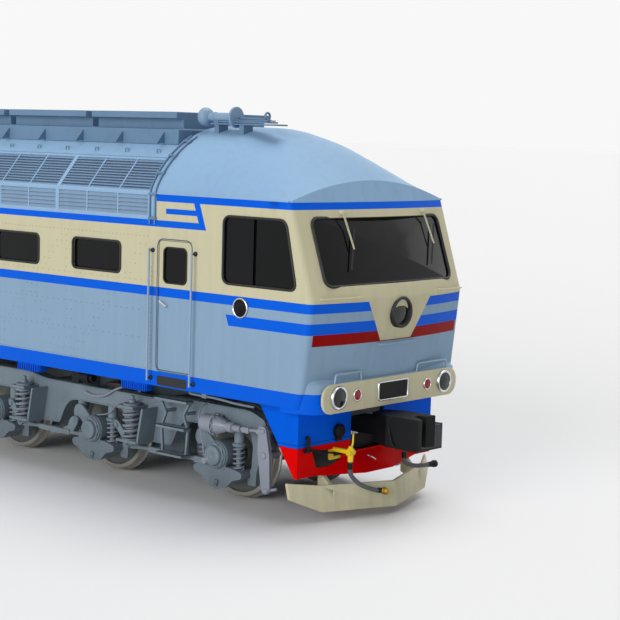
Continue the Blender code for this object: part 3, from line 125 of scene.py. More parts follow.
ahead = Vector((math.cos(PITCH) * math.cos(YAW), math.cos(PITCH) * math.sin(YAW), math.sin(PITCH)))
level = ahead.cross(Vector((0, 0, 1))).normalized()
above = level.cross(ahead)
right = level * math.cos(ROLL) + above * math.sin(ROLL)
up = above * math.cos(ROLL) - level * math.sin(ROLL)
camera_data = bpy.data.cameras.new("camera")
camera_data.lens, camera_data.sensor_width = LENS, SENSOR
camera_data.clip_start, camera_data.clip_end = NEAR, FAR
camera = bpy.data.objects.new("camera", camera_data)
bpy.context.scene.collection.objects.link(camera)
camera.matrix_world = Matrix((
    (right.x, up.x, -ahead.x, EYE.x),
    (right.y, up.y, -ahead.y, EYE.y),
    (right.z, up.z, -ahead.z, EYE.z),
    (0, 0, 0, 1),
))
bpy.context.scene.camera = camera

# %% [markdown]
# A shape here is a pair: an array of points and a list of faces. Every helper computes its points as one
# array from a formula, and `piece` turns a shape into an object, gives it its material and lets it ride on
# a body of the frame. Shapes can be merged, mirrored and turned before that.

# %% Shapes as arrays
def merge(*shapes):
    """Several shapes as one: the points are stacked, and each face's numbers are shifted."""
    points, faces, base = [], [], 0
    for these, those in shapes:
        points.append(these)
        faces += [tuple(i + base for i in face) for face in those]
        base += len(these)
    return np.concatenate(points), faces


def band(rows, columns, wrap_rows=False, wrap_columns=True):
    """Quads between neighbouring rows and columns of a grid of points, as a list."""
    r = np.arange(rows if wrap_rows else rows - 1)[:, None]
    c = np.arange(columns if wrap_columns else columns - 1)[None, :]
    after_r, after_c = (r + 1) % rows, (c + 1) % columns
    quads = np.stack([r * columns + c, r * columns + after_c, after_r * columns + after_c,
                      after_r * columns + c], axis=-1)
    return [tuple(q) for q in quads.reshape(-1, 4).tolist()]


def skin(rings, capped=True):
    """A skin over closed rings: points[row, column] = rings, with both ends closed by one face each."""
    rings = np.asarray(rings, float)
    rows, columns = rings.shape[:2]
    faces = band(rows, columns)
    if capped:
        faces += [tuple(reversed(range(columns))), tuple(range((rows - 1) * columns, rows * columns))]
    return rings.reshape(-1, 3), faces


def prism(outline, axis, low, high):
    """A closed outline, in the two axes other than this one, carried from low to high along it."""
    outline = np.asarray(outline, float)
    ends = [np.insert(outline, axis, along, axis=1) for along in (low, high)]
    return skin(ends)


def block(low, high):
    return prism([(low[1], low[2]), (high[1], low[2]), (high[1], high[2]), (low[1], high[2])],
                 0, low[0], high[0])


def unit_circle(sides):
    """Equal steps round a circle, as rows of (cos, sin)."""
    angle = 2 * np.pi * np.arange(sides) / sides
    return np.stack([np.cos(angle), np.sin(angle)], axis=-1)


def lathe(profile, centre, axis=1, sides=32):
    """Each (along, radius) of the profile turned about an axis: centre + radius * (cos, sin)."""
    profile = np.asarray(profile, float)
    flat = profile[:, 1, None, None] * unit_circle(sides)
    rings = np.insert(flat, axis, np.broadcast_to(profile[:, 0, None], flat.shape[:2]), axis=2)
    return skin(rings + np.asarray(centre, float))


def along_path(path, sides=10, radius=0.01, closed=False):
    """A round tube: at each point of the path a ring is set across the direction to its neighbours."""
    path = np.asarray(path, float)
    radius = np.broadcast_to(np.asarray(radius, float), (len(path),))
    ahead_of = np.roll(path, -1, 0) - np.roll(path, 1, 0)
    if not closed:
        ahead_of[0], ahead_of[-1] = path[1] - path[0], path[-1] - path[-2]
    ahead_of /= np.linalg.norm(ahead_of, axis=1, keepdims=True)
    start = np.eye(3)[np.argmin(np.abs(ahead_of[0]))]
    first = []
    for direction in ahead_of:
        start = start - direction * (start @ direction)
        start = start / np.linalg.norm(start)
        first.append(start)
    first = np.array(first)
    second = np.cross(ahead_of, first)
    cos, sin = unit_circle(sides).T[..., None]
    rings = path[:, None] + radius[:, None, None] * (first[:, None] * cos + second[:, None] * sin)
    if closed:
        return rings.reshape(-1, 3), band(len(path), sides, wrap_rows=True)
    return skin(rings)


def rod(start, end, radius=0.01, sides=10):
    return along_path([start, end], sides, radius)


def coil(centre, radius, wire, low, high, turns, sides=7):
    """A spring: a helix whose pitch falls to nothing at both ends, so that it sits flat."""
    t = np.linspace(0, 1, int(turns * 14) + 1)
    lead = np.clip((t * turns - 0.6) / (turns - 1.2), 0, 1)
    angle = 2 * np.pi * turns * t
    z = low + wire + (high - low - 2 * wire) * lead
    path = np.stack([centre[0] + radius * np.cos(angle), centre[1] + radius * np.sin(angle), z], axis=-1)
    return along_path(path, sides, wire)


def circle(centre, axis, radius, count=20):
    """Points on a circle: centre + radius * (cos, sin) in the two axes other than this one."""
    return np.insert(radius * unit_circle(count), axis, 0, axis=1) + np.asarray(centre, float)


def rounded(low, high, radius, steps=5):
    """A rectangle with round corners: each corner is a quarter circle about its own centre."""
    quarter = np.linspace(0, np.pi / 2, steps + 1)
    outline = []
    for k, (x, y) in enumerate(((high[0], high[1]), (low[0], high[1]), (low[0], low[1]), (high[0], low[1]))):
        cx = x - radius if k in (0, 3) else x + radius
        cy = y - radius if k in (0, 1) else y + radius
        angle = quarter + k * np.pi / 2
        outline.append(np.stack([cx + radius * np.cos(angle), cy + radius * np.sin(angle)], axis=-1))
    return np.concatenate(outline)


def fillet(outline, radius, steps=4):
    """Any outline with its corners rounded: each corner becomes a curve between two points on its sides."""
    outline = np.asarray(outline, float)
    radius = np.broadcast_to(radius, (len(outline),))
    made = []
    for before, here, after, r in zip(np.roll(outline, 1, 0), outline, np.roll(outline, -1, 0), radius):
        if r <= 0:
            made.append(here[None])
            continue
        a = here + (before - here) * min(r / np.linalg.norm(before - here), 0.48)
        b = here + (after - here) * min(r / np.linalg.norm(after - here), 0.48)
        t = np.linspace(0, 1, steps + 1)[:, None]
        made.append((1 - t) ** 2 * a + 2 * t * (1 - t) * here + t**2 * b)
    return np.concatenate(made)


def domes(centres, normals, radius=0.008, sides=6):
    """Rivet heads: every dome is one small cap, a ring at the wall, a smaller ring and a tip."""
    centres, normals = np.asarray(centres, float), np.asarray(normals, float)
    normals = np.broadcast_to(normals, centres.shape)
    side = np.cross(normals, np.where(np.abs(normals[:, 2:]) > 0.9, [[1, 0, 0]], [[0, 0, 1]]))
    side /= np.linalg.norm(side, axis=1, keepdims=True)
    other = np.cross(normals, side)
    cos, sin = unit_circle(sides).T[..., None]
    spin = side[:, None] * cos + other[:, None] * sin
    points = np.concatenate([
        centres[:, None] + radius * spin - 0.3 * radius * normals[:, None],
        centres[:, None] + 0.65 * radius * spin + 0.45 * radius * normals[:, None],
    ], axis=1)
    k = np.arange(sides)
    one = [(i, (i + 1) % sides, sides + (i + 1) % sides, sides + i) for i in k.tolist()]
    one += [tuple(range(sides, 2 * sides)), tuple(reversed(range(sides)))]
    count = 2 * sides
    faces = [tuple(v + base for v in face) for base in range(0, len(centres) * count, count) for face in one]
    return points.reshape(-1, 3), faces


def along_x(shape, places):
    """The same shape set at one or more places along the locomotive."""
    return merge(*[(shape[0] + (x, 0, 0), shape[1]) for x in places])


def as_it_is(shape):
    return shape


def mirrored(shape):
    """The same shape on the other side: y changes sign, and each face runs the other way round."""
    return shape[0] * (1, -1, 1), [tuple(reversed(face)) for face in shape[1]]


def turned_round(shape):
    """The same shape at the other end: half a turn about the middle of the locomotive."""
    return shape[0] * (-1, -1, 1), shape[1]


def both_sides(shape):
    return merge(shape, mirrored(shape))


ENDS = (("front", as_it_is), ("rear", turned_round))
SIDES = (("right", as_it_is), ("left", mirrored))
OTHER = {"left": "right", "right": "left"}


# %% [markdown]
# Every piece ends up as an object at the origin whose place is in its mesh. Sharp edges get a small bevel,
# because no real edge is perfectly sharp and the bevel is what catches the light.

# %% Objects from shapes
def shade(mesh, angle):
    """Smooth shading, with sharp edges where faces meet at more than the angle in degrees."""
    mesh.shade_smooth()
    mesh.set_sharp_from_angle(angle=math.radians(angle))


def piece(name, shape, material, body="root", bevel=0.0, replaces=(), smooth=35, segments=2):
    mesh = bpy.data.meshes.new(name)
    mesh.from_pydata(shape[0].tolist(), [], shape[1])
    work = bmesh.new()
    work.from_mesh(mesh)
    bmesh.ops.remove_doubles(work, verts=work.verts, dist=1e-5)
    bmesh.ops.recalc_face_normals(work, faces=work.faces)
    work.to_mesh(mesh)
    work.free()
    mesh.materials.append(material)
    obj = bpy.data.objects.new(name, mesh)
    bpy.context.scene.collection.objects.link(obj)
    if bevel:
        edge = obj.modifiers.new("edge", "BEVEL")
        edge.width, edge.segments, edge.limit_method = bevel, segments, "ANGLE"
        edge.angle_limit = math.radians(40)
        edge.use_clamp_overlap = True
        edge.harden_normals = False
    shade(mesh, smooth)
    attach(obj, body)
    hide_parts(*replaces)
    return obj


def at_both_ends(name, shape, material, body=None, replaces=(), **finish):
    """Two pieces, front and rear: "{}" in a body's or node's name stands for the end."""
    for end, turn in ENDS:
        piece(f"{name}_{end}", turn(shape), material, (body or "root").format(end),
              replaces=[n.format(end) for n in replaces], **finish)


def keep_node(node, material):
    """A solid that is right as it is keeps its mesh and gets a better material."""
    mesh = frame["nodes"][node].data
    mesh.materials.clear()
    mesh.materials.append(material)


def smooth_copy(node, material, name=None, smooth=30, bevel=0.0):
    """A merged copy of a solid, so that its round stretches can be shaded smooth."""
    mesh = frame["nodes"][node].data
    points = np.empty(len(mesh.vertices) * 3)
    mesh.vertices.foreach_get("co", points)
    shape = points.reshape(-1, 3), [tuple(p.vertices) for p in mesh.polygons]
    body = frame["nodes"][node]["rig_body"]
    return piece(name or node + "_finished", shape, material, body, bevel, [node], smooth)

# %% [markdown]
# The paint scheme is a rule about places: a stripe is where z lies between two heights. Such a rule can be
# written as arithmetic on the Object coordinates, and it stays sharp at any distance, which an image
# would not. `Wire` makes that arithmetic readable: every operation on a wire adds one Math node.

# %% Arithmetic in node trees
def math_node(operation):
    """A method that adds one Math node of this kind."""
    return lambda self, other: self.op(operation, other)


class Wire:
    """A number that runs through a node tree."""

    def __init__(self, tree, socket):
        self.tree, self.socket = tree, socket

    def op(self, operation, other=None):
        node = self.tree.nodes.new("ShaderNodeMath")
        node.operation = operation
        self.tree.links.new(self.socket, node.inputs[0])
        if isinstance(other, Wire):
            self.tree.links.new(other.socket, node.inputs[1])
        elif other is not None:
            node.inputs[1].default_value = other
        return Wire(self.tree, node.outputs[0])

    __add__, __sub__, __mul__ = math_node("ADD"), math_node("SUBTRACT"), math_node("MULTIPLY")
    __gt__, __lt__, either = math_node("GREATER_THAN"), math_node("LESS_THAN"), math_node("MAXIMUM")

    def between(self, low, high):
        return (self > low) * (self < high)


def rgb(code):
    """A colour as written on screen, such as C2BD9E, in the linear values that shaders use."""
    values = [int(code[i:i + 2], 16) / 255 for i in (0, 2, 4)]
    return tuple(v / 12.92 if v <= 0.04045 else ((v + 0.055) / 1.055) ** 2.4 for v in values) + (1.0,)


def new_group(name, inputs, outputs):
    """An empty node group with its sockets: each is a name, a kind and a value."""
    tree = bpy.data.node_groups.new(name, "ShaderNodeTree")
    for sockets, way in ((inputs, "INPUT"), (outputs, "OUTPUT")):
        for label, kind, value in sockets:
            socket = tree.interface.new_socket(label, in_out=way, socket_type="NodeSocket" + kind)
            if value is not None:
                socket.default_value = value
    return tree, tree.nodes.new("NodeGroupInput"), tree.nodes.new("NodeGroupOutput")


def feed(tree, value, socket):
    """Links a wire or a socket to a socket, or sets the socket's own value."""
    if isinstance(value, Wire):
        tree.links.new(value.socket, socket)
    elif isinstance(value, bpy.types.NodeSocket):
        tree.links.new(value, socket)
    else:
        socket.default_value = value


def blend_colours(tree, under, over, share):
    node = tree.nodes.new("ShaderNodeMix")
    node.data_type = "RGBA"
    feed(tree, share, node.inputs["Factor"])
    feed(tree, under, node.inputs[6])
    feed(tree, over, node.inputs[7])
    return node.outputs[2]


def place(tree):
    """The three Object coordinates as wires."""
    split = tree.nodes.new("ShaderNodeSeparateXYZ")
    tree.links.new(tree.nodes.new("ShaderNodeTexCoord").outputs["Object"], split.inputs[0])
    return [Wire(tree, split.outputs[i]) for i in range(3)]


def noise(tree, scale, detail=3.0, stretch=(1, 1, 1)):
    """Noise on the Object coordinates, stretched by a Mapping node."""
    mapping = tree.nodes.new("ShaderNodeMapping")
    mapping.inputs["Scale"].default_value = stretch
    tree.links.new(tree.nodes.new("ShaderNodeTexCoord").outputs["Object"], mapping.inputs["Vector"])
    node = tree.nodes.new("ShaderNodeTexNoise")
    tree.links.new(mapping.outputs[0], node.inputs["Vector"])
    feed(tree, scale, node.inputs["Scale"])
    node.inputs["Detail"].default_value = detail
    return Wire(tree, node.outputs["Fac"])


# %% [markdown]
# The colours are read as they look under plain light. The stripes are listed by their heights above the
# lowest point of the wheels. Both halves of the locomotive are alike, so the rule works on the distance
# from the leading axle of the nearer end and on the distance from the middle plane.

# %% The paint scheme
ROOF, SIDE, CREAM, BLUE, RED = "8DAFCF", "87A2BB", "C5C0A1", "005CDA", "8C0000"
SKIRT_RED = "DC0000"
LOW_BAND_Z = 1.654
WAIST = (2.636, 2.756)
LOUVRE_STRIPE = (3.537, 3.623)
CAB_STRIPE = (3.867, 3.956)
SHORT_STRIPE = (3.71, 3.78)
SECOND_STRIPE = (2.375, 2.513)
RED_STRIPE = (2.233, 2.375)
SHIELD = ((2.245, 0.31), (2.76, 0.63))
SKIRT_SEAM = (0.935, 0.975, 0.981)
JOINT_BAND = 0.13
STRIPE_LEAN = 0.36  # how far the end of a stripe moves for each metre of height
BAR_X, LOW_CAB_X, SHORT_X, SECOND_X = (-0.24, -0.134), -0.14, (-0.745, -0.19), 0.355
FRONT_X, RED_HALF = 1.5, 1.455
SEAM_T, SEAM_BLUE = 0.006, "06245C"


def livery_group():
    """Paints over, one after the other, from the side's blue to the stripes and the shield."""
    tree, _, out = new_group("livery", (), [("Color", "Color", None)])
    x, y, z = place(tree)
    ahead, side = x.op("ABSOLUTE") - STATION, y.op("ABSOLUTE")
    room = ahead < CAB_REAR - STATION + JOINT_BAND
    front = ahead > FRONT_X
    slant = (z * -1.0 + CAB_STRIPE[0]) * STRIPE_LEAN
    bar = z.between(LOUVRE_STRIPE[0], CAB_STRIPE[0]) * (ahead - slant).between(*BAR_X)
    low_cab = z.between(*LOUVRE_STRIPE) * ((ahead - slant) < LOW_CAB_X)
    short = z.between(*SHORT_STRIPE) * ((ahead - slant) < SHORT_X[1]) * (ahead > SHORT_X[0])
    second_start = (z * -1.0 + SECOND_STRIPE[1]) * STRIPE_LEAN + SECOND_X
    second = z.between(*SECOND_STRIPE) * ((ahead - second_start) > 0.0)
    shield_edge = (z - SHIELD[0][0]) * ((SHIELD[1][1] - SHIELD[0][1]) / (SHIELD[1][0] - SHIELD[0][0]))
    shield = z.between(SHIELD[0][0], SHIELD[1][0]) * ((side - shield_edge) < SHIELD[0][1]) * front
    layers = (
        (CREAM, z > WAIST[1]),
        (ROOF, (z > CAB_STRIPE[1]).either(room * (z > LOUVRE_STRIPE[1]))),
        (BLUE, z.between(*CAB_STRIPE) * (room * -1.0 + 1.0)),
        (BLUE, z.between(*LOUVRE_STRIPE) * room),
        (BLUE, bar.either(low_cab).either(short)),
        (BLUE, z.between(*WAIST)),
        (BLUE, second),
        (RED, z.between(*RED_STRIPE) * front * (side < RED_HALF)),
        (BLUE, z < LOW_BAND_Z),
        (CREAM, shield),
    )
    colour = rgb(SIDE)
    for code, mask in layers:
        colour = blend_colours(tree, colour, rgb(code), mask)
    feed(tree, colour, out.inputs["Color"])
    return tree


def skirt_group():
    """The skirt under the lamps: bright blue above, red below, with two thin seams between them."""
    tree, _, out = new_group("skirt", (), [("Color", "Color", None)])
    _, _, z = place(tree)
    colour = blend_colours(tree, rgb(BLUE), rgb(SKIRT_RED), z < SKIRT_SEAM[0])
    seam = z.between(SKIRT_SEAM[0], SKIRT_SEAM[0] + SEAM_T).either(z.between(*SKIRT_SEAM[1:]))
    feed(tree, blend_colours(tree, colour, rgb(SEAM_BLUE), seam), out.inputs["Color"])
    return tree


LIVERY, SKIRT = livery_group(), skirt_group()

# %% [markdown]
# Paint that has been outdoors is never even. One group, used by almost every material here, does four
# small things to a colour: it drifts with a broad noise, it is darker in thin streaks that run down, it
# takes up dust below a given height, and it gives the roughness and a height for a Bump node.

# %% Weathering group
def weather_group():
    inputs = [("Color", "Color", (0.5, 0.5, 0.5, 1)), ("Dirt", "Color", rgb("4A4338")),
              ("Drift", "Float", 0.12), ("Streaks", "Float", 0.15), ("Dust", "Float", 0.0),
              ("Dust Height", "Float", 1.6), ("Roughness", "Float", 0.4), ("Scale", "Float", 1.0)]
    outputs = [("Color", "Color", None), ("Roughness", "Float", None), ("Height", "Float", None)]
    tree, given, out = new_group("weather", inputs, outputs)

    def given_wire(label):
        return Wire(tree, given.outputs[label])

    scale = given_wire("Scale")
    broad, fine = noise(tree, scale * 1.3, 4), noise(tree, scale * 22.0, 5)
    streak = noise(tree, scale * 9.0, 3, (1, 1, 0.05))
    _, _, z = place(tree)
    low = (given_wire("Dust Height") - z).op("MULTIPLY", 1.4)
    low.socket.node.use_clamp = True
    dusty = low * given_wire("Dust") * (fine * 0.8 + 0.4)
    dirt = (broad - 0.42) * given_wire("Drift") * 1.6
    dirt = dirt + (streak - 0.5) * given_wire("Streaks") * 1.8 + dusty
    dirt.socket.node.use_clamp = True
    colour = blend_colours(tree, given.outputs["Color"], given.outputs["Dirt"], dirt)
    feed(tree, colour, out.inputs["Color"])
    rough = given_wire("Roughness") + (fine - 0.5) * 0.12 + dirt * 0.5
    rough.socket.node.use_clamp = True
    feed(tree, rough, out.inputs["Roughness"])
    feed(tree, fine * 0.6 + broad * 0.4, out.inputs["Height"])
    return tree


WEATHER = weather_group()


def material(name, colour, rough=0.4, metallic=0.0, bump=0.05, bump_depth=0.002, coat=0.0, shine=0.5, **wear):
    """A Principled surface whose colour and roughness come through the weathering group."""
    made = bpy.data.materials.new(name)
    made.use_nodes = True
    tree = made.node_tree
    shader = tree.nodes["Principled BSDF"]
    worn = tree.nodes.new("ShaderNodeGroup")
    worn.node_tree = WEATHER
    if colour in (LIVERY, SKIRT):
        scheme = tree.nodes.new("ShaderNodeGroup")
        scheme.node_tree = colour
        tree.links.new(scheme.outputs["Color"], worn.inputs["Color"])
    else:
        worn.inputs["Color"].default_value = rgb(colour)
    worn.inputs["Roughness"].default_value = rough
    for label, value in wear.items():
        worn.inputs[label.replace("_", " ").title()].default_value = rgb(value) if label == "dirt" else value
    tree.links.new(worn.outputs["Color"], shader.inputs["Base Color"])
    tree.links.new(worn.outputs["Roughness"], shader.inputs["Roughness"])
    shader.inputs["Metallic"].default_value = metallic
    shader.inputs["Coat Weight"].default_value = coat
    shader.inputs["Specular IOR Level"].default_value = shine
    if bump:
        relief = tree.nodes.new("ShaderNodeBump")
        relief.inputs["Strength"].default_value = bump
        relief.inputs["Distance"].default_value = bump_depth
        tree.links.new(worn.outputs["Height"], relief.inputs["Height"])
        tree.links.new(relief.outputs["Normal"], shader.inputs["Normal"])
    return made


BODY_PAINT = material("body_paint", LIVERY, 0.42, shine=0.06, drift=0.10, streaks=0.12)
SKIRT_PAINT = material("skirt_paint", SKIRT, 0.42, shine=0.03, drift=0.12, streaks=0.05, dirt="1C1A1C")
ROOF_PAINT = material("roof_paint", ROOF, 0.45, shine=0.3, drift=0.14, streaks=0.05)
LOUVRE_PAINT = material("louvre_paint", "809CB8", 0.5, drift=0.2, streaks=0.1, dirt="2B3036")
ROOF_GEAR = material("roof_gear_paint", "5F7F9E", 0.5, drift=0.3, streaks=0.1, dirt="23303A")
RAIL_PAINT = material("rail_paint", "8CA6BD", 0.35, drift=0.2, scale=3.0)
# Rivet heads: the dust input, with a height above the whole body, darkens the livery all over towards a dark
# blue-grey. That is painted shade for the small shadow round each head, not dust.
RIVET_SHADE_PAINT = material("rivet_painted_shade", LIVERY, 0.5, shine=0.1, dust=0.42, dust_height=9.0, dirt="2A3440")
SEAM_PAINT = material("seam_paint", "3F566E", 0.5, drift=0.2)
CREAM_PAINT = material("cream_paint", CREAM, 0.4, shine=0.3, drift=0.16, streaks=0.1)
PLOW_PAINT = material("plow_paint", CREAM, 0.5, shine=0.3, drift=0.3, dust=0.2, dust_height=0.5, streaks=0.2)
BLUE_PAINT = material("bright_blue_paint", BLUE, 0.4, shine=0.15, drift=0.08)
BOGIE_PAINT = material("bogie_paint", "6C7B85", 0.5, drift=0.35, streaks=0.15, dust=0.35,
                       dust_height=0.9, dirt="2E2C2A", scale=2.0, bump=0.15)
SPRING_PAINT = material("spring_paint", "7E8995", 0.45, drift=0.3, dust=0.2, dirt="252422", scale=3.0)
UNDER_PAINT = material("under_paint", "3C444A", 0.6, drift=0.4, dust=0.4, dust_height=1.2, dirt="1E1B18")
CYLINDER_PAINT = material("cylinder_paint", "858B98", 0.4, drift=0.2, dirt="33302E", scale=2.0)
TREAD_STEEL = material("tread_steel", "B7B4AC", 0.3, 1.0, drift=0.4, dirt="4C463E", scale=3.0)
WHEEL_PAINT = material("wheel_paint", "6E7370", 0.5, 0.3, drift=0.4, dirt="37332E", scale=3.0)
BLACK_IRON = material("black_iron", "0C0E10", 0.55, bump=0.2, shine=0.2, drift=0.2, dirt="24221F", scale=3.0)
RUBBER = material("black_rubber", "0E0F10", 0.6, drift=0.2, dirt="1C1C1C", scale=4.0)
HOSE_RUBBER = material("hose_rubber", "4A4D52", 0.6, drift=0.2, scale=6.0)
BRIGHT_METAL = material("bright_metal", "C4C9CA", 0.22, 1.0, drift=0.15, dirt="6E706E", scale=6.0)
YELLOW_PAINT = material("yellow_paint", "E6C400", 0.35, drift=0.2, dirt="4A3A08", scale=6.0)
BRASS = material("brass", "A9852E", 0.3, 1.0, drift=0.3, dirt="3C2F12", scale=6.0)
RED_LENS = material("red_lens", "9A0A0E", 0.2, shine=0.2, coat=0.15, drift=0.1, scale=8.0)
GLASS = material("dark_glass", "0B0C0E", 0.08, bump=0.0, shine=0.16, drift=0.3, dirt="1C1E21", scale=0.6)
LAMP_GLASS = material("lamp_glass", "15181B", 0.12, 0.15, bump=0.08, shine=0.35, coat=0.25, scale=10.0)
PLATE_BLACK = material("plate_black", "08090A", 0.35, shine=0.12, drift=0.2, scale=6.0)
print("materials:", len(bpy.data.materials))

# %% [markdown]
# A big pale floor and a white world give the even background of the picture. What the camera, a mirror or
# a pane sees directly is a plain near-white; the light that falls on the locomotive is set by itself.

# %% Floor, world and lamps
BACKGROUND = 0.94
FLOOR_TONE = "E6E6E6"
WORLD_LIGHT = 0.24
FLOOR_HALF = 1500.0
SUNS = (  # name, where it stands, strength, softness in degrees
    ("overhead", (-0.05, 0.32, 1.0), 2.05, 50), ("side", (0.08, -1.0, 0.28), 1.9, 40),
    ("far_fill", (-0.1, 1.0, 0.3), 0.5, 60))
floor_shape = prism(np.array([(-1, -1), (1, -1), (1, 1), (-1, 1)]) * FLOOR_HALF, 2, -0.05, 0.0)
floor = piece("floor", floor_shape, material("floor_tone", FLOOR_TONE, 0.9, bump=0.0, drift=0.0, streaks=0.0))
floor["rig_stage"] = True
floor.parent = None

world = bpy.data.worlds.new("studio")
world.use_nodes = True
bpy.context.scene.world = world
tree = world.node_tree
light = tree.nodes.new("ShaderNodeBackground")
shown = tree.nodes.new("ShaderNodeBackground")
light.inputs["Strength"].default_value = WORLD_LIGHT
shown.inputs["Color"].default_value = light.inputs["Color"].default_value = (1, 1, 1, 1)
shown.inputs["Strength"].default_value = BACKGROUND
paths = tree.nodes.new("ShaderNodeLightPath")
seen = tree.nodes.new("ShaderNodeMath")
seen.operation = "MAXIMUM"
tree.links.new(paths.outputs["Is Camera Ray"], seen.inputs[0])
tree.links.new(paths.outputs["Is Glossy Ray"], seen.inputs[1])
choose = tree.nodes.new("ShaderNodeMixShader")
tree.links.new(seen.outputs[0], choose.inputs[0])
tree.links.new(light.outputs[0], choose.inputs[1])
tree.links.new(shown.outputs[0], choose.inputs[2])
tree.links.new(choose.outputs[0], tree.nodes["World Output"].inputs["Surface"])


def sun(name, source, strength, softness):
    """A soft sun: light of one direction everywhere, so that the floor is lit evenly."""
    lamp = bpy.data.lights.new(name, "SUN")
    lamp.energy, lamp.angle = strength, math.radians(softness)
    obj = bpy.data.objects.new(name, lamp)
    bpy.context.scene.collection.objects.link(obj)
    obj.rotation_euler = Vector(source).to_track_quat("Z", "Y").to_euler()


for row in SUNS:
    sun(*row)
bpy.context.scene.view_settings.view_transform = "Standard"

# %% [markdown]
# The brake hoses are cords: each hangs from the tap under the headstock and ends in its coupling head.
# The routes are the ones that the solids follow, point for point, and a smooth curve runs through them.

# %% Brake hoses
HOSE_D = 0.056
HOSE_ROUTES = {  # forward from the leading axle, across, height
    "right": ((1.72, -0.66, 0.73), (1.72, -0.66, 0.61), (1.735, -0.645, 0.55), (1.77, -0.605, 0.49),
              (1.82, -0.56, 0.44), (1.88, -0.49, 0.40), (1.93, -0.40, 0.37), (1.95, -0.32, 0.355)),
    "left": ((1.72, 0.45, 0.73), (1.72, 0.45, 0.61), (1.735, 0.47, 0.57), (1.77, 0.52, 0.54),
             (1.81, 0.59, 0.525), (1.84, 0.67, 0.52), (1.86, 0.75, 0.52), (1.87, 0.82, 0.52)),
}
HALF_TURN = np.array((-1, -1, 1))
YELLOW_ENDS = (("front", "right"), ("rear", "left"))


def through(route, per_stretch=8):
    """A smooth line through the points: on each stretch a cubic whose end directions are the mean of the
    directions of the two stretches that meet there (Catmull-Rom), with straight first and last ones."""
    p = np.asarray(route, float)
    ends = np.concatenate([[2 * p[0] - p[1]], p, [2 * p[-1] - p[-2]]])
    slope = (ends[2:] - ends[:-2]) / 2
    slope[0] = p[1] - p[0]
    t = np.linspace(0, 1, per_stretch, endpoint=False)[:, None]
    ease, leave, arrive = 3 * t**2 - 2 * t**3, t**3 - 2 * t**2 + t, t**3 - t**2
    stretches = zip(p, p[1:], slope, slope[1:])
    pieces = [(1 - ease) * a + leave * u + ease * b + arrive * v for a, b, u, v in stretches]
    return np.concatenate(pieces + [p[-1:]])


def hose(end, side):
    """One hose, with the two crimped collars that hold it."""
    seen_from = side if end == "front" else OTHER[side]
    route = through([(at(x), y, z) for x, y, z in HOSE_ROUTES[seen_from]])
    line = route if end == "front" else route * HALF_TURN
    length = np.linalg.norm(np.diff(line, axis=0), axis=1).sum()
    node = f"hose_{end}_{side}"
    tube = piece(node + "_rubber", along_path(line, 16, HOSE_D / 2), HOSE_RUBBER, replaces=[node])
    crimped = [along_path(stretch, 16, HOSE_D * 0.6) for stretch in (line[1:7], line[-6:-1])]
    collars = piece(node + "_collars", merge(*crimped), BLACK_IRON)
    head = smooth_copy(f"hose_coupling_{end}_{side}", BRASS if (end, side) in YELLOW_ENDS else BLACK_IRON,
                       bevel=0.004)
    return length


for end in ("front", "rear"):
    print(end, "hoses:", [round(hose(end, side), 3) for side in ("left", "right")])

# %% [markdown]
# Solids that are right as they are only get their material.

# %% Materials of the solids
NODE_MATERIALS = (
    ("bogie_", BOGIE_PAINT), ("wheelset_", WHEEL_PAINT), ("underframe", UNDER_PAINT),
    ("engine_block", UNDER_PAINT), ("louvre_bank", LOUVRE_PAINT), ("lamp_panel", CREAM_PAINT),
    ("windscreen", GLASS), ("cab_window", GLASS), ("room_windows", GLASS), ("door_glass", GLASS),
    ("cab_", BODY_PAINT), ("door_", BODY_PAINT), ("engine_room_shell", BODY_PAINT),
)
for node in frame["nodes"]:
    for start, made in NODE_MATERIALS:
        if node.startswith(start):
            keep_node(node, made)
            break

# %% [markdown]
# Others are right in form and only want soft edges: a merged copy of each gets a small bevel.

# %% Solids with soft edges
SOFT_EDGES = (  # node, material, bevel
    ("coupler_{}", BLACK_IRON, 0.010), ("air_cocks_{}", YELLOW_PAINT, 0.006),
    ("end_apron_{}", SKIRT_PAINT, 0.004), ("plow_{}", PLOW_PAINT, 0.006),
)
for node, made, width in SOFT_EDGES:
    for end in ("front", "rear"):
        smooth_copy(node.format(end), made, bevel=width)
smooth_copy("roof_hatches", ROOF_GEAR, bevel=0.012)
smooth_copy("fuel_tank", UNDER_PAINT, bevel=0.03)

# %% [markdown]
# The cab is one smooth skin. Its outline at each height is straight along the sides and bulges at the
# front, with a round corner between; its roof is an arch whose crown falls towards the front. Where the
# wall and the roof meet, the wall's top row and the roof's border share their points. The shape follows
# the cab's solid: the tables give where the front stands and how the roof's arch changes.

# %% Shape of the cab
NOSE = np.array((  # height, corner ahead of the leading axle, bulge of the middle
    (1.46, 1.58, 0.13), (1.75, 1.65, 0.13), (2.79, 1.76, 0.19), (3.96, 1.38, 0.10), (5.00, 1.04, 0.05)))
CAB_ROOF = np.array((  # ahead of the leading axle, crown height, arch power, arch root
    (-1.05, 4.87, 2.2, 0.75), (-0.10, 4.85, 2.2, 0.78), (0.45, 4.72, 2.1, 0.84),
    (0.95, 4.50, 2.0, 0.92), (1.40, 4.21, 2.0, 1.00), (1.90, 3.99, 2.0, 1.00)))
NOSE_FLAT_Y = 1.50
GUTTER_Z = 3.96
CORNER_R = 0.06
WALL_LEVELS = (1.60, 1.735, 1.765, *np.linspace(1.95, 2.6, 4), 2.775, 2.805, *np.linspace(2.95, 3.8, 5))
SIDE_COLUMNS, FRONT_COLUMNS, CORNER_COLUMNS = 14, 32, 5
EDGE_STEPS = 30  # halvings that bring the front edge onto wall and roof at once


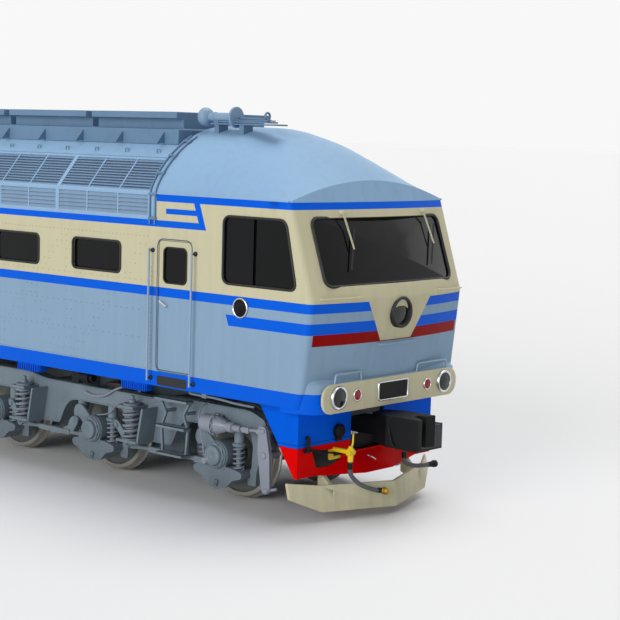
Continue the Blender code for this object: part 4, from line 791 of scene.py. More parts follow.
def nose_x(y, z, inset=0.0):
    """Front face: corner(z) + bulge(z) * (1 - (y / 1.5)^2), less a quarter circle near the sides."""
    corner, bulge = (np.interp(z, NOSE[:, 0], NOSE[:, k]) for k in (1, 2))
    past = np.clip(np.abs(y) - (HALF_W - inset - CORNER_R), 0, CORNER_R)
    turn = CORNER_R - np.sqrt(CORNER_R**2 - past**2)
    return at(corner + bulge * (1 - (y / NOSE_FLAT_Y) ** 2)) - turn - inset


def roof_z(x, y, inset=0.0):
    """Arch: gutter + (crown - gutter) * (1 - |y / half|^power)^root, all three changing along x."""
    crown, power, root = (np.interp(x - STATION, CAB_ROOF[:, 0], CAB_ROOF[:, k]) for k in (1, 2, 3))
    share = np.clip(np.abs(y) / (HALF_W - inset), 0, 1)
    return GUTTER_Z + (crown - inset - GUTTER_Z) * (1 - share**power) ** root


def cab_surface(inset, low):
    """Grid of the walls and grid of the roof, which share their border, for one inset of the skin."""
    half, rear = HALF_W - inset, CAB_REAR + inset + 0.0004
    swing = np.linspace(0, np.pi / 2, CORNER_COLUMNS)[1:]
    corner_y = half - CORNER_R + CORNER_R * np.sin(swing)
    middle_y = (half - CORNER_R) * np.sin(np.linspace(-np.pi / 2, np.pi / 2, FRONT_COLUMNS))
    y = np.concatenate([-corner_y[::-1], middle_y, corner_y])
    edge_z = np.full(len(y), GUTTER_Z)
    for _ in range(EDGE_STEPS):
        edge_z = 0.5 * edge_z + 0.5 * roof_z(nose_x(y, edge_z, inset), y, inset)
    edge_x = nose_x(y, edge_z, inset)
    levels = [low, *WALL_LEVELS]
    u = np.linspace(0, 1, SIDE_COLUMNS + 1)[:-1]
    rows = []
    for z in levels + [None]:
        zz = np.full(len(y), z) if z is not None else edge_z
        x = nose_x(y, zz, inset)
        side = [np.stack([rear + u * (x[k] - rear), np.full(len(u), y[k]), np.full(len(u), zz[k])], axis=-1)
                for k in (0, -1)]
        rows.append(np.concatenate([side[0], np.stack([x, y, zz], axis=-1), side[1][::-1]]))
    walls = np.array(rows)
    near_edge = 1 - 0.08 * np.linspace(1, 0, 4) ** 2
    along = np.unique(np.round(np.concatenate([u, near_edge]), 6))[:, None]
    x = rear + along * (edge_x - rear)
    z = roof_z(x, y, inset)
    z[-1] = edge_z
    roof = np.stack([x, np.broadcast_to(y, x.shape), z], axis=-1)
    roof[np.isin(along[:, 0], u.round(6)), 0, 2] = edge_z[0]
    return walls, roof


def open_grid(grid, flip=False):
    rows, columns = grid.shape[:2]
    faces = band(rows, columns, wrap_columns=False)
    return grid.reshape(-1, 3), [tuple(reversed(f)) for f in faces] if flip else faces


def cab_skin():
    """Outer and inner surface with the rear wall, joined along the sill."""
    shapes = []
    outer, inner = cab_surface(0.0, SILL_Z), cab_surface(WALL, SILL_Z)
    for walls, roof in (outer, inner):
        rear = np.concatenate([walls[:, 0], roof[0, 1:-1], walls[::-1, -1]])
        shapes += [open_grid(walls), open_grid(roof), (rear, [tuple(range(len(rear)))])]
    rim = np.stack([outer[0][0], inner[0][0]])
    closing = np.stack([rim[:, 0], rim[:, -1]])
    return merge(*shapes, open_grid(rim), open_grid(closing))


walls, roof = cab_surface(0.0, SILL_Z)
print("brow height in the middle", round(float(walls[-1, len(walls[0]) // 2, 2]), 3))

# %% [markdown]
# The openings are cut by Boolean modifiers that are applied at once, so the skin stays one plain mesh.
# The outlines of the openings are named here, because the seals and the panes follow them too.

# %% Openings of the cab
SCREEN = rounded((-1.28, 2.95), (1.28, 3.77), 0.11, 8)
window_corners = ((0.29, 2.90), (1.52, 2.90), (1.33, 3.74), (0.29, 3.74))
CAB_WINDOW = fillet([(at(x), z) for x, z in window_corners], 0.11, 7)
DOOR_X, DOOR_Z = (-0.87, -0.27), (1.67, 3.37)
DOOR_GLASS = rounded((at(-0.78), 2.82), (at(-0.36), 3.28), 0.07, 6)


def cut_out(obj, cutters):
    """Cuts every cutter out of the object, and leaves its plain mesh."""
    for cutter in cutters:
        cut = obj.modifiers.new("cut", "BOOLEAN")
        cut.operation, cut.solver, cut.object = "DIFFERENCE", "EXACT", cutter
    bpy.context.view_layer.update()
    mesh = bpy.data.meshes.new_from_object(obj.evaluated_get(bpy.context.evaluated_depsgraph_get()))
    obj.modifiers.clear()
    obj.data = mesh
    for cutter in cutters:
        bpy.data.objects.remove(cutter, do_unlink=True)
    shade(mesh, 32)


doorway = block((at(DOOR_X[0]), -2, DOOR_Z[0]), (at(DOOR_X[1]), 2, DOOR_Z[1]))
openings = (prism(CAB_WINDOW, 1, -2, 2), doorway, prism(SCREEN, 0, at(0.9), at(2.6)))
for end, turn in ENDS:
    cab = piece(f"cab_{end}_skin", turn(cab_skin()), BODY_PAINT, replaces=[f"cab_{end}_shell"])
    cut_out(cab, [piece("cutter", turn(shape), BODY_PAINT) for shape in openings])
    print(cab.name, len(cab.data.polygons), "faces")

# %% [markdown]
# Each pane lies a little behind the skin and is held by a black rubber seal, a tube along the opening's
# edge. The windscreen is bent like the front: its points are rings that shrink to the middle, and each
# takes its x from the same formula as the skin.

# %% Panes and seals
SEAL_R = 0.017


def on_face(outline, inset=0.0):
    """An outline of (y, z) laid on the bent front face."""
    y, z = outline.T
    return np.stack([nose_x(y, z, inset), y, z], axis=-1)


def bent_pane(outline, inset, thick):
    """Rings from the middle of an outline to its edge, each on the front face, and a plain back."""
    middle = outline.mean(axis=0)
    rings = [on_face(middle + share * (outline - middle), inset) for share in np.linspace(0.05, 1.0, 9)]
    back = rings[-1] - (thick, 0, 0)
    return skin([*rings, back, back * (1, 0.02, 1)])


def seal_of(outline, axis, place, radius=SEAL_R):
    return along_path(np.insert(outline, axis, place, axis=1), 8, radius, closed=True)


screen_edge = on_face(SCREEN) + (0.002, 0, 0)
at_both_ends("windscreen_glass", bent_pane(SCREEN, 0.014, 0.012), GLASS, replaces=["windscreen_{}"])
at_both_ends("windscreen_seal", along_path(screen_edge, 8, 0.02, closed=True), RUBBER)
cab_seal = both_sides(seal_of(CAB_WINDOW, 1, -HALF_W - 0.001))
window_bar = block((at(0.77), -HALF_W - 0.007, 2.905), (at(0.81), -HALF_W + 0.012, 3.735))
ROOM_WINDOWS = [rounded((at(x) - 0.48, 2.89), (at(x) + 0.48, 3.30), 0.07, 6) for x in (-2.07, -3.74)]
room_seal = both_sides(merge(*[seal_of(w, 1, -HALF_W - 0.001) for w in ROOM_WINDOWS]))
at_both_ends("window_seals", merge(cab_seal, room_seal), RUBBER)
at_both_ends("window_bars", both_sides(window_bar), RUBBER, bevel=0.004)

# %% [markdown]
# Below the cab the wall swells into a housing that carries the lamp panel. The panel is a flat plate with
# round corners; each lamp is turned from a short profile, and the number plate stays blank.

# %% Lamp panel
PANEL_X, PANEL_Z, PANEL_T = 1.84, (1.405, 1.765), 0.034
LAMP_Z = sum(PANEL_Z) / 2 + 0.01
HEAD_LAMP, MARKER_LAMP = (1.08, 0.15), (0.72, 0.08)  # off the middle, radius
PLATE_Y, PLATE_H, PLATE_T = 0.30, 0.115, 0.012
HOUSING = (  # height, how far the front stands back
    (1.405, 0.0), (1.752, 0.0), (1.762, 0.004), (1.768, 0.016), (1.80, 0.07), (1.835, 0.13), (1.85, 0.18))


def housing():
    """Rings from the panel's foot to its top edge, and a ledge that falls back to the wall above it."""
    rings = []
    for z, back in HOUSING:
        front = PANEL_X - PANEL_T - back
        half = np.array([(1.30, HALF_W - 0.008), (1.50, HALF_W - 0.012), (front - 0.07, 1.43),
                         (front - 0.012, 1.34), (front, 1.26)])
        half[:, 0] = np.minimum(half[:, 0], front - 0.02 * np.arange(4, -1, -1)) + STATION
        rings.append(np.insert(np.concatenate([half * (1, -1), half[::-1]]), 2, z, axis=1))
    return skin(rings)


def lamp(y, radius):
    """A rim and the domed lens in it: the rim stands out by a quarter of its radius."""
    out, centre = radius / 4, (at(PANEL_X), y, LAMP_Z)
    rim = [(-0.01, radius), (out * 0.6, radius), (out * 0.9, radius * 0.95), (out, radius * 0.87),
           (out * 0.8, radius * 0.79), (0.005, radius * 0.74), (-0.01, radius * 0.74)]
    dome = [(out * (0.55 + 0.35 * (1 - s**2)), max(radius * 0.76 * s, 0.0005)) for s in np.linspace(0, 1, 7)]
    return lathe(rim, centre, 0, 40), lathe(dome + [(0.002, radius * 0.76)], centre, 0, 40)


def plate_edge(radius, steps):
    return rounded((-PLATE_Y, LAMP_Z - PLATE_H), (PLATE_Y, LAMP_Z + PLATE_H), radius, steps)


panel = rounded((-1.37, PANEL_Z[0]), (1.37, PANEL_Z[1]), 0.165, 8)
at_both_ends("lamp_housing", housing(), BODY_PAINT, smooth=50)
at_both_ends("lamp_panel_plate", prism(panel, 0, at(PANEL_X - PANEL_T), at(PANEL_X)), CREAM_PAINT,
             bevel=0.006, replaces=["lamp_panel_{}"])
heads, markers = [[lamp(side * y, r) for side in (-1, 1)] for y, r in (HEAD_LAMP, MARKER_LAMP)]
at_both_ends("lamp_rims", merge(*[rim for rim, _ in heads + markers]), BRIGHT_METAL)
at_both_ends("head_lamp_lenses", merge(*[lens for _, lens in heads]), LAMP_GLASS)
at_both_ends("marker_lenses", merge(*[lens for _, lens in markers]), RED_LENS)
number_plate = prism(plate_edge(0.02, 3), 0, at(PANEL_X), at(PANEL_X) + PLATE_T)
at_both_ends("number_plate", number_plate, PLATE_BLACK, bevel=0.003)
at_both_ends("number_plate_rim", seal_of(plate_edge(0.035, 4), 0, at(PANEL_X) + 0.008, 0.012), BRIGHT_METAL)

# %% [markdown]
# The front carries a round lamp in the middle of its shield, two wipers that hang from the brow, grab
# bars under the windscreen, a short step and two low grab handles. All of them stand on the bent face,
# so their feet take their x from its formula.

# %% Front fittings
NOSE_LAMP_Z = 2.59
NOSE_RING = ((-0.04, 0.20), (0.038, 0.20), (0.047, 0.195), (0.05, 0.185), (0.045, 0.165), (-0.01, 0.150),
             (-0.04, 0.150))
NOSE_LENS = ((-0.03, 0.152), (0.004, 0.150), (0.012, 0.10), (0.014, 0.001))
WIPERS = (((-0.733, 3.83), (-0.713, 3.39), -0.117), ((0.927, 3.83), (0.972, 3.41), -0.158))
GRAB_BARS = (  # start and end as (y, z), how far off the face, radius
    ((-1.40, 2.815), (-0.80, 2.82), 0.05, 0.011), ((0.85, 2.83), (1.44, 2.815), 0.05, 0.011),
    ((-0.35, 2.20), (0.35, 2.20), 0.06, 0.014))
LOW_HANDLES = ((-1.11, -0.59), (0.54, 1.20))


def on_nose(y, z, out=0.0):
    return np.array((float(nose_x(np.array(y), np.array(z))) + out, y, z))


def bar_with_feet(start, end, out, radius):
    """A rail that stands off the front face, held at its ends."""
    (y0, z0), (y1, z1) = start, end
    line = [on_nose(y0 + s * (y1 - y0), z0 + s * (z1 - z0), out) for s in np.linspace(0, 1, 9)]
    feet = [rod(on_nose(y, z, -0.01), on_nose(y, z, out), radius) for y, z in (start, end)]
    return merge(along_path(line, 10, radius), *feet)


def wiper(pivot, joint, lean):
    """An arm of two thin rods from a boss under the brow, and a blade with its rubber lip."""
    start, end, side = on_nose(*pivot, 0.035), on_nose(*joint, 0.045), np.array((0, 0.012, 0))
    arm = [rod(start + way * side, end + way * side * 0.5, 0.006, 6) for way in (-1, 1)]
    boss = lathe([(-0.06, 0.028), (0.015, 0.028), (0.02, 0.02)], start, 0, 16)
    low, high = (on_nose(joint[0] + way * lean, joint[1] - way * 0.25, 0.022) for way in (1, -1))
    blade = merge(rod(low, high, 0.009, 8), rod(end, (low + high) / 2, 0.01, 8),
                  rod(low + (0.012, 0, 0), high + (0.012, 0, 0), 0.005, 6))
    return merge(*arm, boss), blade


def low_handle(y0, y1):
    """A handle of three straight runs with round corners, standing on the housing."""
    low, high, slant = 1.755, 1.875, 0.02
    line = np.array([(y0, low), (y0 + slant, high), (y1 - slant, high), (y1, low)])
    return along_path(np.insert(fillet(line, (0, 0.03, 0.03, 0)), 0, at(1.80), axis=1), 8, 0.011)


wipers = [wiper(*row) for row in WIPERS]
at_both_ends("wiper_arms", merge(*[arm for arm, _ in wipers]), CREAM_PAINT)
at_both_ends("wiper_blades", merge(*[blade for _, blade in wipers]), RUBBER)
at_both_ends("front_grab_bars", merge(*[bar_with_feet(*row) for row in GRAB_BARS]), BODY_PAINT)
nose_lamp = on_nose(0, NOSE_LAMP_Z)
at_both_ends("nose_lamp_ring", lathe(NOSE_RING, nose_lamp, 0, 48), RUBBER)
at_both_ends("nose_lamp_lens", lathe(NOSE_LENS, nose_lamp, 0, 48), LAMP_GLASS)
at_both_ends("low_grab_handles", merge(*[low_handle(*row) for row in LOW_HANDLES]), RAIL_PAINT)

# %% [markdown]
# The sides have handrails at the door, a flat black plate in the low band that stands for the step's
# recess as painted shade, the round badge, which stays bare, and a gutter over the cab. Rivets run in
# rows where a sheet meets the frame behind it; their heads are painted darker, as painted shade.

# %% Side fittings
RAIL_OUT, RAIL_FEET, RAIL_PLACES = 0.075, (1.56, 3.23), (-0.97, -0.19)
BADGE, BADGE_R = (at(0.612), 2.614), 0.118


def handrail():
    """A post at x = 0, and the feet with their pads that hold it off the wall."""
    y = -HALF_W - RAIL_OUT
    post = rod((0, y, 1.53), (0, y, 3.26), 0.014, 12)
    feet = [rod((0, -HALF_W + 0.02, z), (0, y, z), 0.012, 8) for z in RAIL_FEET]
    pad = ((-0.03, 0.012), (-0.02, 0.028), (0.01, 0.034))
    return post, merge(*feet, *[lathe(pad, (0, -HALF_W, z), 1, 16) for z in RAIL_FEET])


def door_leaf_trim():
    """The plate of the lock, the seal of the window and the turning handle."""
    face = -HALF_W + 0.012
    lock = lathe([(-0.004, 0.09), (0.004, 0.10)], (at(-0.755), face, 2.50), 1, 28)
    handle = merge(rod((at(-0.80), face + 0.004, 2.565), (at(-0.80), face - 0.04, 2.565), 0.018, 12),
                   rod((at(-0.82), face - 0.035, 2.575), (at(-0.69), face - 0.035, 2.515), 0.015, 10))
    return lock, seal_of(DOOR_GLASS, 1, face, 0.011), handle


posts, feet = (along_x(shape, [at(x) for x in RAIL_PLACES]) for shape in handrail())
at_both_ends("door_handrails", both_sides(posts), RAIL_PAINT)
at_both_ends("door_handrail_feet", both_sides(feet), RUBBER)
door_bead = rounded((at(-0.885), 1.655), (at(-0.255), 3.385), 0.10, 6)
at_both_ends("door_beads", both_sides(seal_of(door_bead, 1, -HALF_W - 0.001, 0.007)), SEAM_PAINT)
leaf_paints = (BODY_PAINT, RUBBER, BRIGHT_METAL)
for part, shape, made in zip(("lock", "seal", "handle"), door_leaf_trim(), leaf_paints):
    for end, turn in ENDS:
        for side, flip in SIDES:
            here = side if end == "front" else OTHER[side]
            piece(f"door_{part}_{end}_{here}", turn(flip(shape)), made, f"door_{end}_{here}")
# The step's recess is not cut in: a flat black plate on the wall stands for it, as painted shade.
step = prism(rounded((at(-0.86), 1.475), (at(-0.31), 1.60), 0.03, 4), 1, -HALF_W - 0.003, -HALF_W + 0.01)
at_both_ends("door_step_shade_plates", both_sides(step), RUBBER)
gutter = rod(*[(x, -HALF_W - 0.004, GUTTER_Z + 0.006) for x in (CAB_REAR + 0.01, at(1.36))], 0.011, 8)
at_both_ends("cab_gutters", both_sides(gutter), BODY_PAINT)
disc = lathe([(-0.014, 0.09), (0.005, 0.125)], (BADGE[0], -HALF_W, BADGE[1]), 1, 40)
badge_ring = along_path(circle((BADGE[0], -HALF_W - 0.012, BADGE[1]), 1, BADGE_R, 40), 8, 0.011, closed=True)
at_both_ends("badge_discs", both_sides(disc), PLATE_BLACK)
at_both_ends("badge_rings", both_sides(badge_ring), BRIGHT_METAL)

# %% Rivets of the side
LONG_ROWS = ((3.405, 0.075), (2.825, 0.11), (1.672, 0.05))  # height, pitch
PANEL_ROWS = (2.43, 2.066)
COLUMNS = ((-1.0, 1.75, 3.07, 0.06), (-2.68, 2.89, 3.30, 0.12))  # x, from, to, pitch
POSTS = (-2.615, -4.31, -6.0)
HIGH_BRACES = ((-2.74, 3.33, -3.18, 2.90), (-1.16, 3.30, -1.45, 2.90))


def on_side(x, z):
    """Places on the right wall; x or z may be one number for all of them."""
    x, z = np.broadcast_arrays(x, z)
    return np.stack([x, np.full(x.shape, -HALF_W), z], axis=-1)


def brace(x0, z0, x1, z1, pitch):
    t = np.linspace(0, 1, int(math.hypot(x1 - x0, z1 - z0) / pitch))
    return on_side(x0 + t * (x1 - x0), z0 + t * (z1 - z0))


def side_rivets():
    """Rows along the frame's longerons, double columns on its posts, and the braces in each panel."""
    rows = [on_side(np.arange(-CAB_REAR + 0.05, CAB_REAR, pitch), z) for z, pitch in LONG_ROWS]
    for end in (-1, 1):
        start, stop = sorted((end * at(-7.2), end * at(-1.12)))
        rows += [on_side(np.arange(start, stop, 0.115), z) for z in PANEL_ROWS]
        rows += [on_side(end * at(x), np.arange(z0, z1, pitch)) for x, z0, z1, pitch in COLUMNS]
        for shift in (-0.05, 0.05):
            rows += [brace(end * at(x0 + shift), z0, end * at(x1 + shift), z1, 0.10)
                     for x0, z0, x1, z1 in HIGH_BRACES]
            for post in POSTS:
                rows.append(on_side(end * at(post + shift), np.arange(1.79, 2.60, 0.13)))
                rows += [brace(end * at(post + lean * 0.85 + shift), 2.60,
                               end * at(post + lean * 0.16 + shift), 1.77, 0.12) for lean in (-1, 1)]
    return np.concatenate(rows)


rivets = side_rivets()
# The heads' material is the livery darkened all over: painted shade for the shadow round each head.
piece("side_rivets", both_sides(domes(rivets, (0, -1, 0), 0.0095)), RIVET_SHADE_PAINT)
print("rivets a side:", len(rivets))

# %% [markdown]
# The louvres are real slats: each is a thin plate, the slats follow the bank's two slopes, and mullions
# part every module into three panes.

# %% Louvres
LOUVRE_LOW, LOUVRE_CORNER, SHOULDER = (HALF_W, 3.64), (HALF_W, GUTTER_Z + 0.015), (1.17, 4.42)
SLOPES = ((LOUVRE_LOW, LOUVRE_CORNER, 5), (LOUVRE_CORNER, SHOULDER, 11))  # low edge, high edge, slats
MODULES, PANES = 8, 3
ROOM = CAB_REAR - 0.0004
PANE = 2 * ROOM / MODULES / PANES
SILL, POST, BAR = 0.035, 0.035, 0.012
SLAT_EDGE, SLAT_BACK, SLAT_REACH = (-0.004, 0.004), (-0.030, -0.036), 1.25


def slope_frame(low, high):
    """Start, direction up the slope and direction outwards, for one slope of the right bank."""
    low, high = np.array((-low[0], low[1])), np.array((-high[0], high[1]))
    length = np.linalg.norm(high - low)
    up = (high - low) / length
    return low, up, np.array((-up[1], up[0])), length


def slats(low, high, count):
    """Blades that lean outwards as they fall: low edge proud, high edge tucked behind the next one."""
    base, up, outward, length = slope_frame(low, high)
    pitch = (length - 2 * SILL) / count
    shapes = []
    for k in range(MODULES * PANES):
        x0 = -ROOM + k * PANE + (POST if k % PANES == 0 else BAR)
        x1 = -ROOM + (k + 1) * PANE - (POST if k % PANES == PANES - 1 else BAR)
        for i in range(count):
            a = base + up * (SILL + i * pitch)
            b = a + up * pitch * SLAT_REACH
            outline = [a + outward * off for off in SLAT_EDGE] + [b + outward * off for off in SLAT_BACK]
            shapes.append(prism(outline, 0, x0, x1))
    return merge(*shapes)


def louvre_frame(low, high):
    """Mullions, sills and a thin border of every pane, and the closed back of the bank."""
    base, up, outward, length = slope_frame(low, high)
    rows = []
    for k in range(MODULES * PANES + 1):
        x, wide = -ROOM + k * PANE, POST if k % PANES == 0 else BAR
        rows.append((max(x - wide, -ROOM), min(x + wide, ROOM), 0, length, -0.05, -0.001))
    rows += [(-ROOM, ROOM, a, a + SILL, -0.05, -0.0015) for a in (0.0, length - SILL)]
    rows.append((-ROOM, ROOM, 0.0, length, -0.055, -0.045))
    shapes = []
    for x0, x1, start, stop, back, out in rows:
        corners = ((start, back), (stop, back), (stop, out), (start, out))
        shapes.append(prism([base + up * a + outward * b for a, b in corners], 0, x0, x1))
    return merge(*shapes)


for side, flip in SIDES:
    blades = merge(*[slats(*slope) for slope in SLOPES])
    borders = merge(*[louvre_frame(low, high) for low, high, _ in SLOPES])
    for part, shape, made in (("slats", blades, LOUVRE_PAINT), ("frame", borders, ROOF_PAINT)):
        piece(f"louvre_{part}_{side}", flip(shape), made, replaces=[f"louvre_bank_{side}"])

# %% [markdown]
# The horn has a round chamber, a neck with two collars and a wide mouth. It stands on a narrow walkway at
# the right of the crown, with a lifting ring. The solid's walkway reaches over the crown, which the
# photograph doesn't show, so the piece that replaces it keeps to the right side.

# %% Horn and walkway
HORN_Y, HORN_Z, RING = -0.60, 4.975, (0.075, -0.55, 4.995)
CHAMBER_X, CHAMBER_LONG, CHAMBER_R = -0.99, 0.10, 0.125
HORN_NECK = (
    (-0.885, 0.052), (-0.83, 0.052), (-0.825, 0.066), (-0.80, 0.066), (-0.795, 0.058), (-0.50, 0.058),
    (-0.46, 0.07), (-0.452, 0.132), (-0.445, 0.139), (-0.425, 0.139), (-0.418, 0.132))
WALKWAY = (  # plates, rests and posts, by their low and high corners
    ((-0.85, -0.66, 4.875), (0.33, -0.44, 4.895)), ((-0.80, -0.655, 4.905), (0.18, -0.46, 4.925)),
    ((-0.80, -0.64, 4.93), (0.16, -0.48, 4.945)), ((-0.79, -0.64, 4.50), (-0.71, -0.46, 4.88)),
    ((-0.34, -0.64, 4.50), (-0.26, -0.46, 4.88)), ((-0.80, -0.65, 4.86), (-0.72, -0.55, 4.945)),
    ((-0.53, -0.63, 4.90), (-0.49, -0.57, 4.945)), ((0.025, -0.57, 4.94), (0.125, -0.53, 4.955)))

swing = np.linspace(0.05 * np.pi, 0.86 * np.pi, 10)
chamber = [(CHAMBER_X - CHAMBER_LONG * math.cos(a), CHAMBER_R * math.sin(a)) for a in swing]
pipe = rod((-0.45, -0.545, 4.965), (0.03, -0.545, 4.955), 0.016, 10)
ring = along_path(circle(RING, 0, 0.045), 10, 0.015, closed=True)
walkway = along_x(merge(*[block(*corners) for corners in WALKWAY], pipe, ring), [STATION])
at_both_ends("roof_walkway", walkway, ROOF_GEAR, bevel=0.003, replaces=["roof_platform_{}"])
at_both_ends("horn", lathe((*chamber, *HORN_NECK), (STATION, HORN_Y, HORN_Z), 0, 36), LOUVRE_PAINT,
             replaces=["roof_platform_{}"])

# %% [markdown]
# The engine room's roof has brackets over the louvres and a row of hooks. Two thin conduits run down over
# the shoulder beside the cab's joint, clipped to the roof: their path is the formula of the cab's roof.

# %% Roof gear
BRACKET, BRACKET_HALF = ((0.945, 4.77), (1.095, 4.60), (0.945, 4.615)), 0.009
BRACKETS = [0.46 + k * 0.815 for k in range(9)]
HOOK_Y, HOOK_Z, HOOKS = 1.10, (4.48, 4.525), [0.3 + k * PANE for k in range(12)]
CLIPS = (0.10, 0.32, 0.53, 0.74, 0.95)
OFF_ROOF = 0.014


def roof_gear():
    """Brackets from the hatches' edge down to the sloping roof, and hooks above the louvres."""
    shapes = [prism([(side * y, z) for y, z in BRACKET], 0, x - BRACKET_HALF, x + BRACKET_HALF)
              for x in BRACKETS for side in (-1, 1)]
    low, high = HOOK_Z
    for x in HOOKS:
        for y in (-HOOK_Y, HOOK_Y):
            bow = [(x + dx, y, z) for dx, z in ((-0.03, low), (-0.03, high), (0.03, high), (0.03, low))]
            shapes.append(along_path(bow, 6, 0.007))
    return merge(*shapes)


def on_shoulder(x, share):
    """A place on the joint: z = roof_z(x, y) over the arch, and straight down the wall after it."""
    y = np.linspace(-0.80, -HALF_W, 25)
    line = np.stack([np.full(25, x), y - OFF_ROOF, roof_z(x, y) + OFF_ROOF], axis=-1)
    line = np.concatenate([line, [(x, -HALF_W - OFF_ROOF, z) for z in (3.85, 3.74, 3.63, 3.57)]])
    walked = np.concatenate([[0], np.cumsum(np.linalg.norm(np.diff(line, axis=0), axis=1))])
    far = np.asarray(share) * walked[-1]
    return np.stack([np.interp(far, walked, line[:, k]) for k in range(3)], axis=-1)


def shoulder_conduits():
    """The two conduits, and the clips that lie across both."""
    conduits_x = (CAB_REAR + 0.016, CAB_REAR + JOINT_BAND - 0.016)
    clip_x = (CAB_REAR + 0.002, CAB_REAR + JOINT_BAND + 0.01)
    shapes = [along_path(on_shoulder(x, np.linspace(0, 1, 24)), 8, 0.012) for x in conduits_x]
    shapes += [rod(*[on_shoulder(x, share) for x in clip_x], 0.019, 6) for share in CLIPS]
    return merge(*shapes)


at_both_ends("roof_gear", roof_gear(), ROOF_GEAR)
at_both_ends("shoulder_conduits", both_sides(shoulder_conduits()), ROOF_GEAR)
print("brackets and hooks:", len(BRACKETS) + len(HOOKS), "a side of each end")

# %% [markdown]
# A bogie is worked out for its right side and mirrored to the left. Its castings are outlines in side view
# with round corners, carried across from one distance off the middle plane to another, and whatever is
# round is turned from a profile. Each shape has x = 0 at its own axle or spring, and is set along from it.

# %% Bogie helpers
FRAME_IN, FRAME_OUT = 1.02, 1.22
FRAME_TOP, FRAME_LOW, FRAME_FOOT, FRAME_KNEE = 1.27, 1.00, 0.63, 0.88
BEAMS = (AXLES[0] - 1.20, AXLES[2] + 1.06)
BIG_SPRINGS, BIG_SPRING_Y, BIG_SPRING_Z = [x - 0.30 for x in BEAMS], 1.37, (0.66, 1.06)
SMALL_SPRINGS, SMALL_SPRING_Y = (-0.34, 0.28), 1.15
BODY = "bogie_{}"


def plate(outline, near, far, radius=0.03):
    """A casting on the right side, with round corners."""
    return prism(fillet(outline, radius, 3), 1, -far, -near)


def knob(x, z, profile, sides=24):
    """A round piece that points outwards on the right side: each step is (off the middle, radius)."""
    return lathe([(-out, radius) for out, radius in profile], (x, 0, z), 1, sides)


def pillar(y, profile, sides=24):
    return lathe(profile, (0, -y, 0), 2, sides)


def bent_rod(points, bend, sides, radius):
    """A rod through the points, with round corners between its two ends."""
    bends = [0] + [bend] * (len(points) - 2) + [0]
    return along_path(fillet(points, bends), sides, radius)


def bolt_ring(centre, axis, low, high, ring, count, radius=0.013):
    """Hexagon heads on a circle: the k-th stands at the angle (k + 1/2) * 2 pi / count."""
    others = [k for k in range(3) if k != axis]
    shapes = []
    for angle in (np.arange(count) + 0.5) * 2 * np.pi / count:
        spot = np.array(centre, float)
        spot[others] += ring * np.array((math.cos(angle), math.sin(angle)))
        spot[axis] = 0
        shapes.append(lathe([(low, radius), (high, radius)], spot, axis, 6))
    return merge(*shapes)


# %% Axle boxes
SADDLE = ((-0.43, 0.46), (-0.42, 0.37), (-0.29, 0.34), (-0.17, 0.23), (0.0, 0.195), (0.17, 0.23),
          (0.27, 0.34), (0.43, 0.38), (0.44, 0.46), (0.22, 0.50), (-0.22, 0.50))
ARM = ((-0.40, 0.80), (-0.38, 0.91), (-0.31, 0.96), (-0.21, 0.94), (0.13, 0.67), (0.17, 0.52), (0.10, 0.42),
       (-0.12, 0.50), (-0.16, 0.66), (-0.27, 0.77), (-0.33, 0.72))
GUIDE_LEG = ((0.40, 1.02), (0.66, 1.02), (0.62, 0.76), (0.54, 0.46), (0.53, 0.28), (0.39, 0.28), (0.38, 0.40),
             (0.45, 0.50), (0.47, 0.80))
BOX = ((0.93, 0.17), (0.94, 0.19), (1.27, 0.19), (1.285, 0.18), (1.30, 0.18), (1.31, 0.17), (1.31, 0.13),
       (1.32, 0.13))
COVER = ((1.28, 0.172), (1.325, 0.172), (1.33, 0.165), (1.33, 0.14))
CAP = ((1.30, 0.135), (1.355, 0.135), (1.372, 0.125), (1.38, 0.10), (1.38, 0.04), (1.375, 0.03))
HOOK_BOLT = ((-0.03, -1.29, 0.31), (0.03, -1.29, 0.31), (0.03, -1.29, 0.275), (-0.03, -1.29, 0.275),
             (-0.03, -1.29, 0.24), (0.03, -1.29, 0.24))


def axle_box():
    """Box, bolted cover, cap, saddle with its hook bolt, wedge arm, guide leg and spring seats."""
    round_parts = [knob(0, AXLE_Z, profile, sides) for profile, sides in ((BOX, 40), (COVER, 8), (CAP, 40))]
    return merge(*round_parts, bent_rod(HOOK_BOLT, 0.02, 6, 0.009), plate(SADDLE, 1.0, 1.27, 0.05),
                 plate(ARM, 1.235, 1.275, 0.05), plate(GUIDE_LEG, 1.03, 1.10),
                 knob(0, 0.275, [(1.26, 0.03), (1.285, 0.03), (1.29, 0.02)], 12),
                 bolt_ring((0, 0, AXLE_Z), 1, -1.335, -1.30, 0.152, 8),
                 along_x(pillar(SMALL_SPRING_Y, [(0.45, 0.10), (0.475, 0.10), (0.48, 0.07)]), SMALL_SPRINGS))


def small_spring():
    """A coil over its guide rod."""
    return merge(coil((0, -SMALL_SPRING_Y), 0.071, 0.014, 0.475, 0.80, 6, 7),
                 pillar(SMALL_SPRING_Y, [(0.46, 0.04), (0.90, 0.04)], 12))


def spring_cup():
    """The cup that hangs from the frame over a small spring."""
    return pillar(SMALL_SPRING_Y, [(0.785, 0.092), (0.815, 0.096), (0.83, 0.07), (1.03, 0.07)])


# %% Big springs and link rods
LINK_ARM = ((-0.44, 0.80), (-0.40, 0.85), (-0.33, 0.83), (-0.14, 0.62), (-0.11, 0.50), (-0.20, 0.48),
            (-0.26, 0.62))
LINK_LUG = ((-0.22, 0.64), (0.10, 0.64), (0.12, 0.50), (-0.20, 0.48))
LINK_PLATE = ((-0.56, 0.50), (-0.40, 0.50), (-0.26, 0.68), (-0.25, 0.76), (-0.33, 0.79), (-0.42, 0.74),
              (-0.46, 0.62), (-0.56, 0.60))
LINK_PINS, PLATE_PINS = ((-0.37, 0.775), (-0.16, 0.565), (0.04, 0.565)), ((-0.50, 0.55), (-0.335, 0.735))
LINK_REACH = 1.20
SEAT_IN, SEAT_OUT = 1.20, 1.505


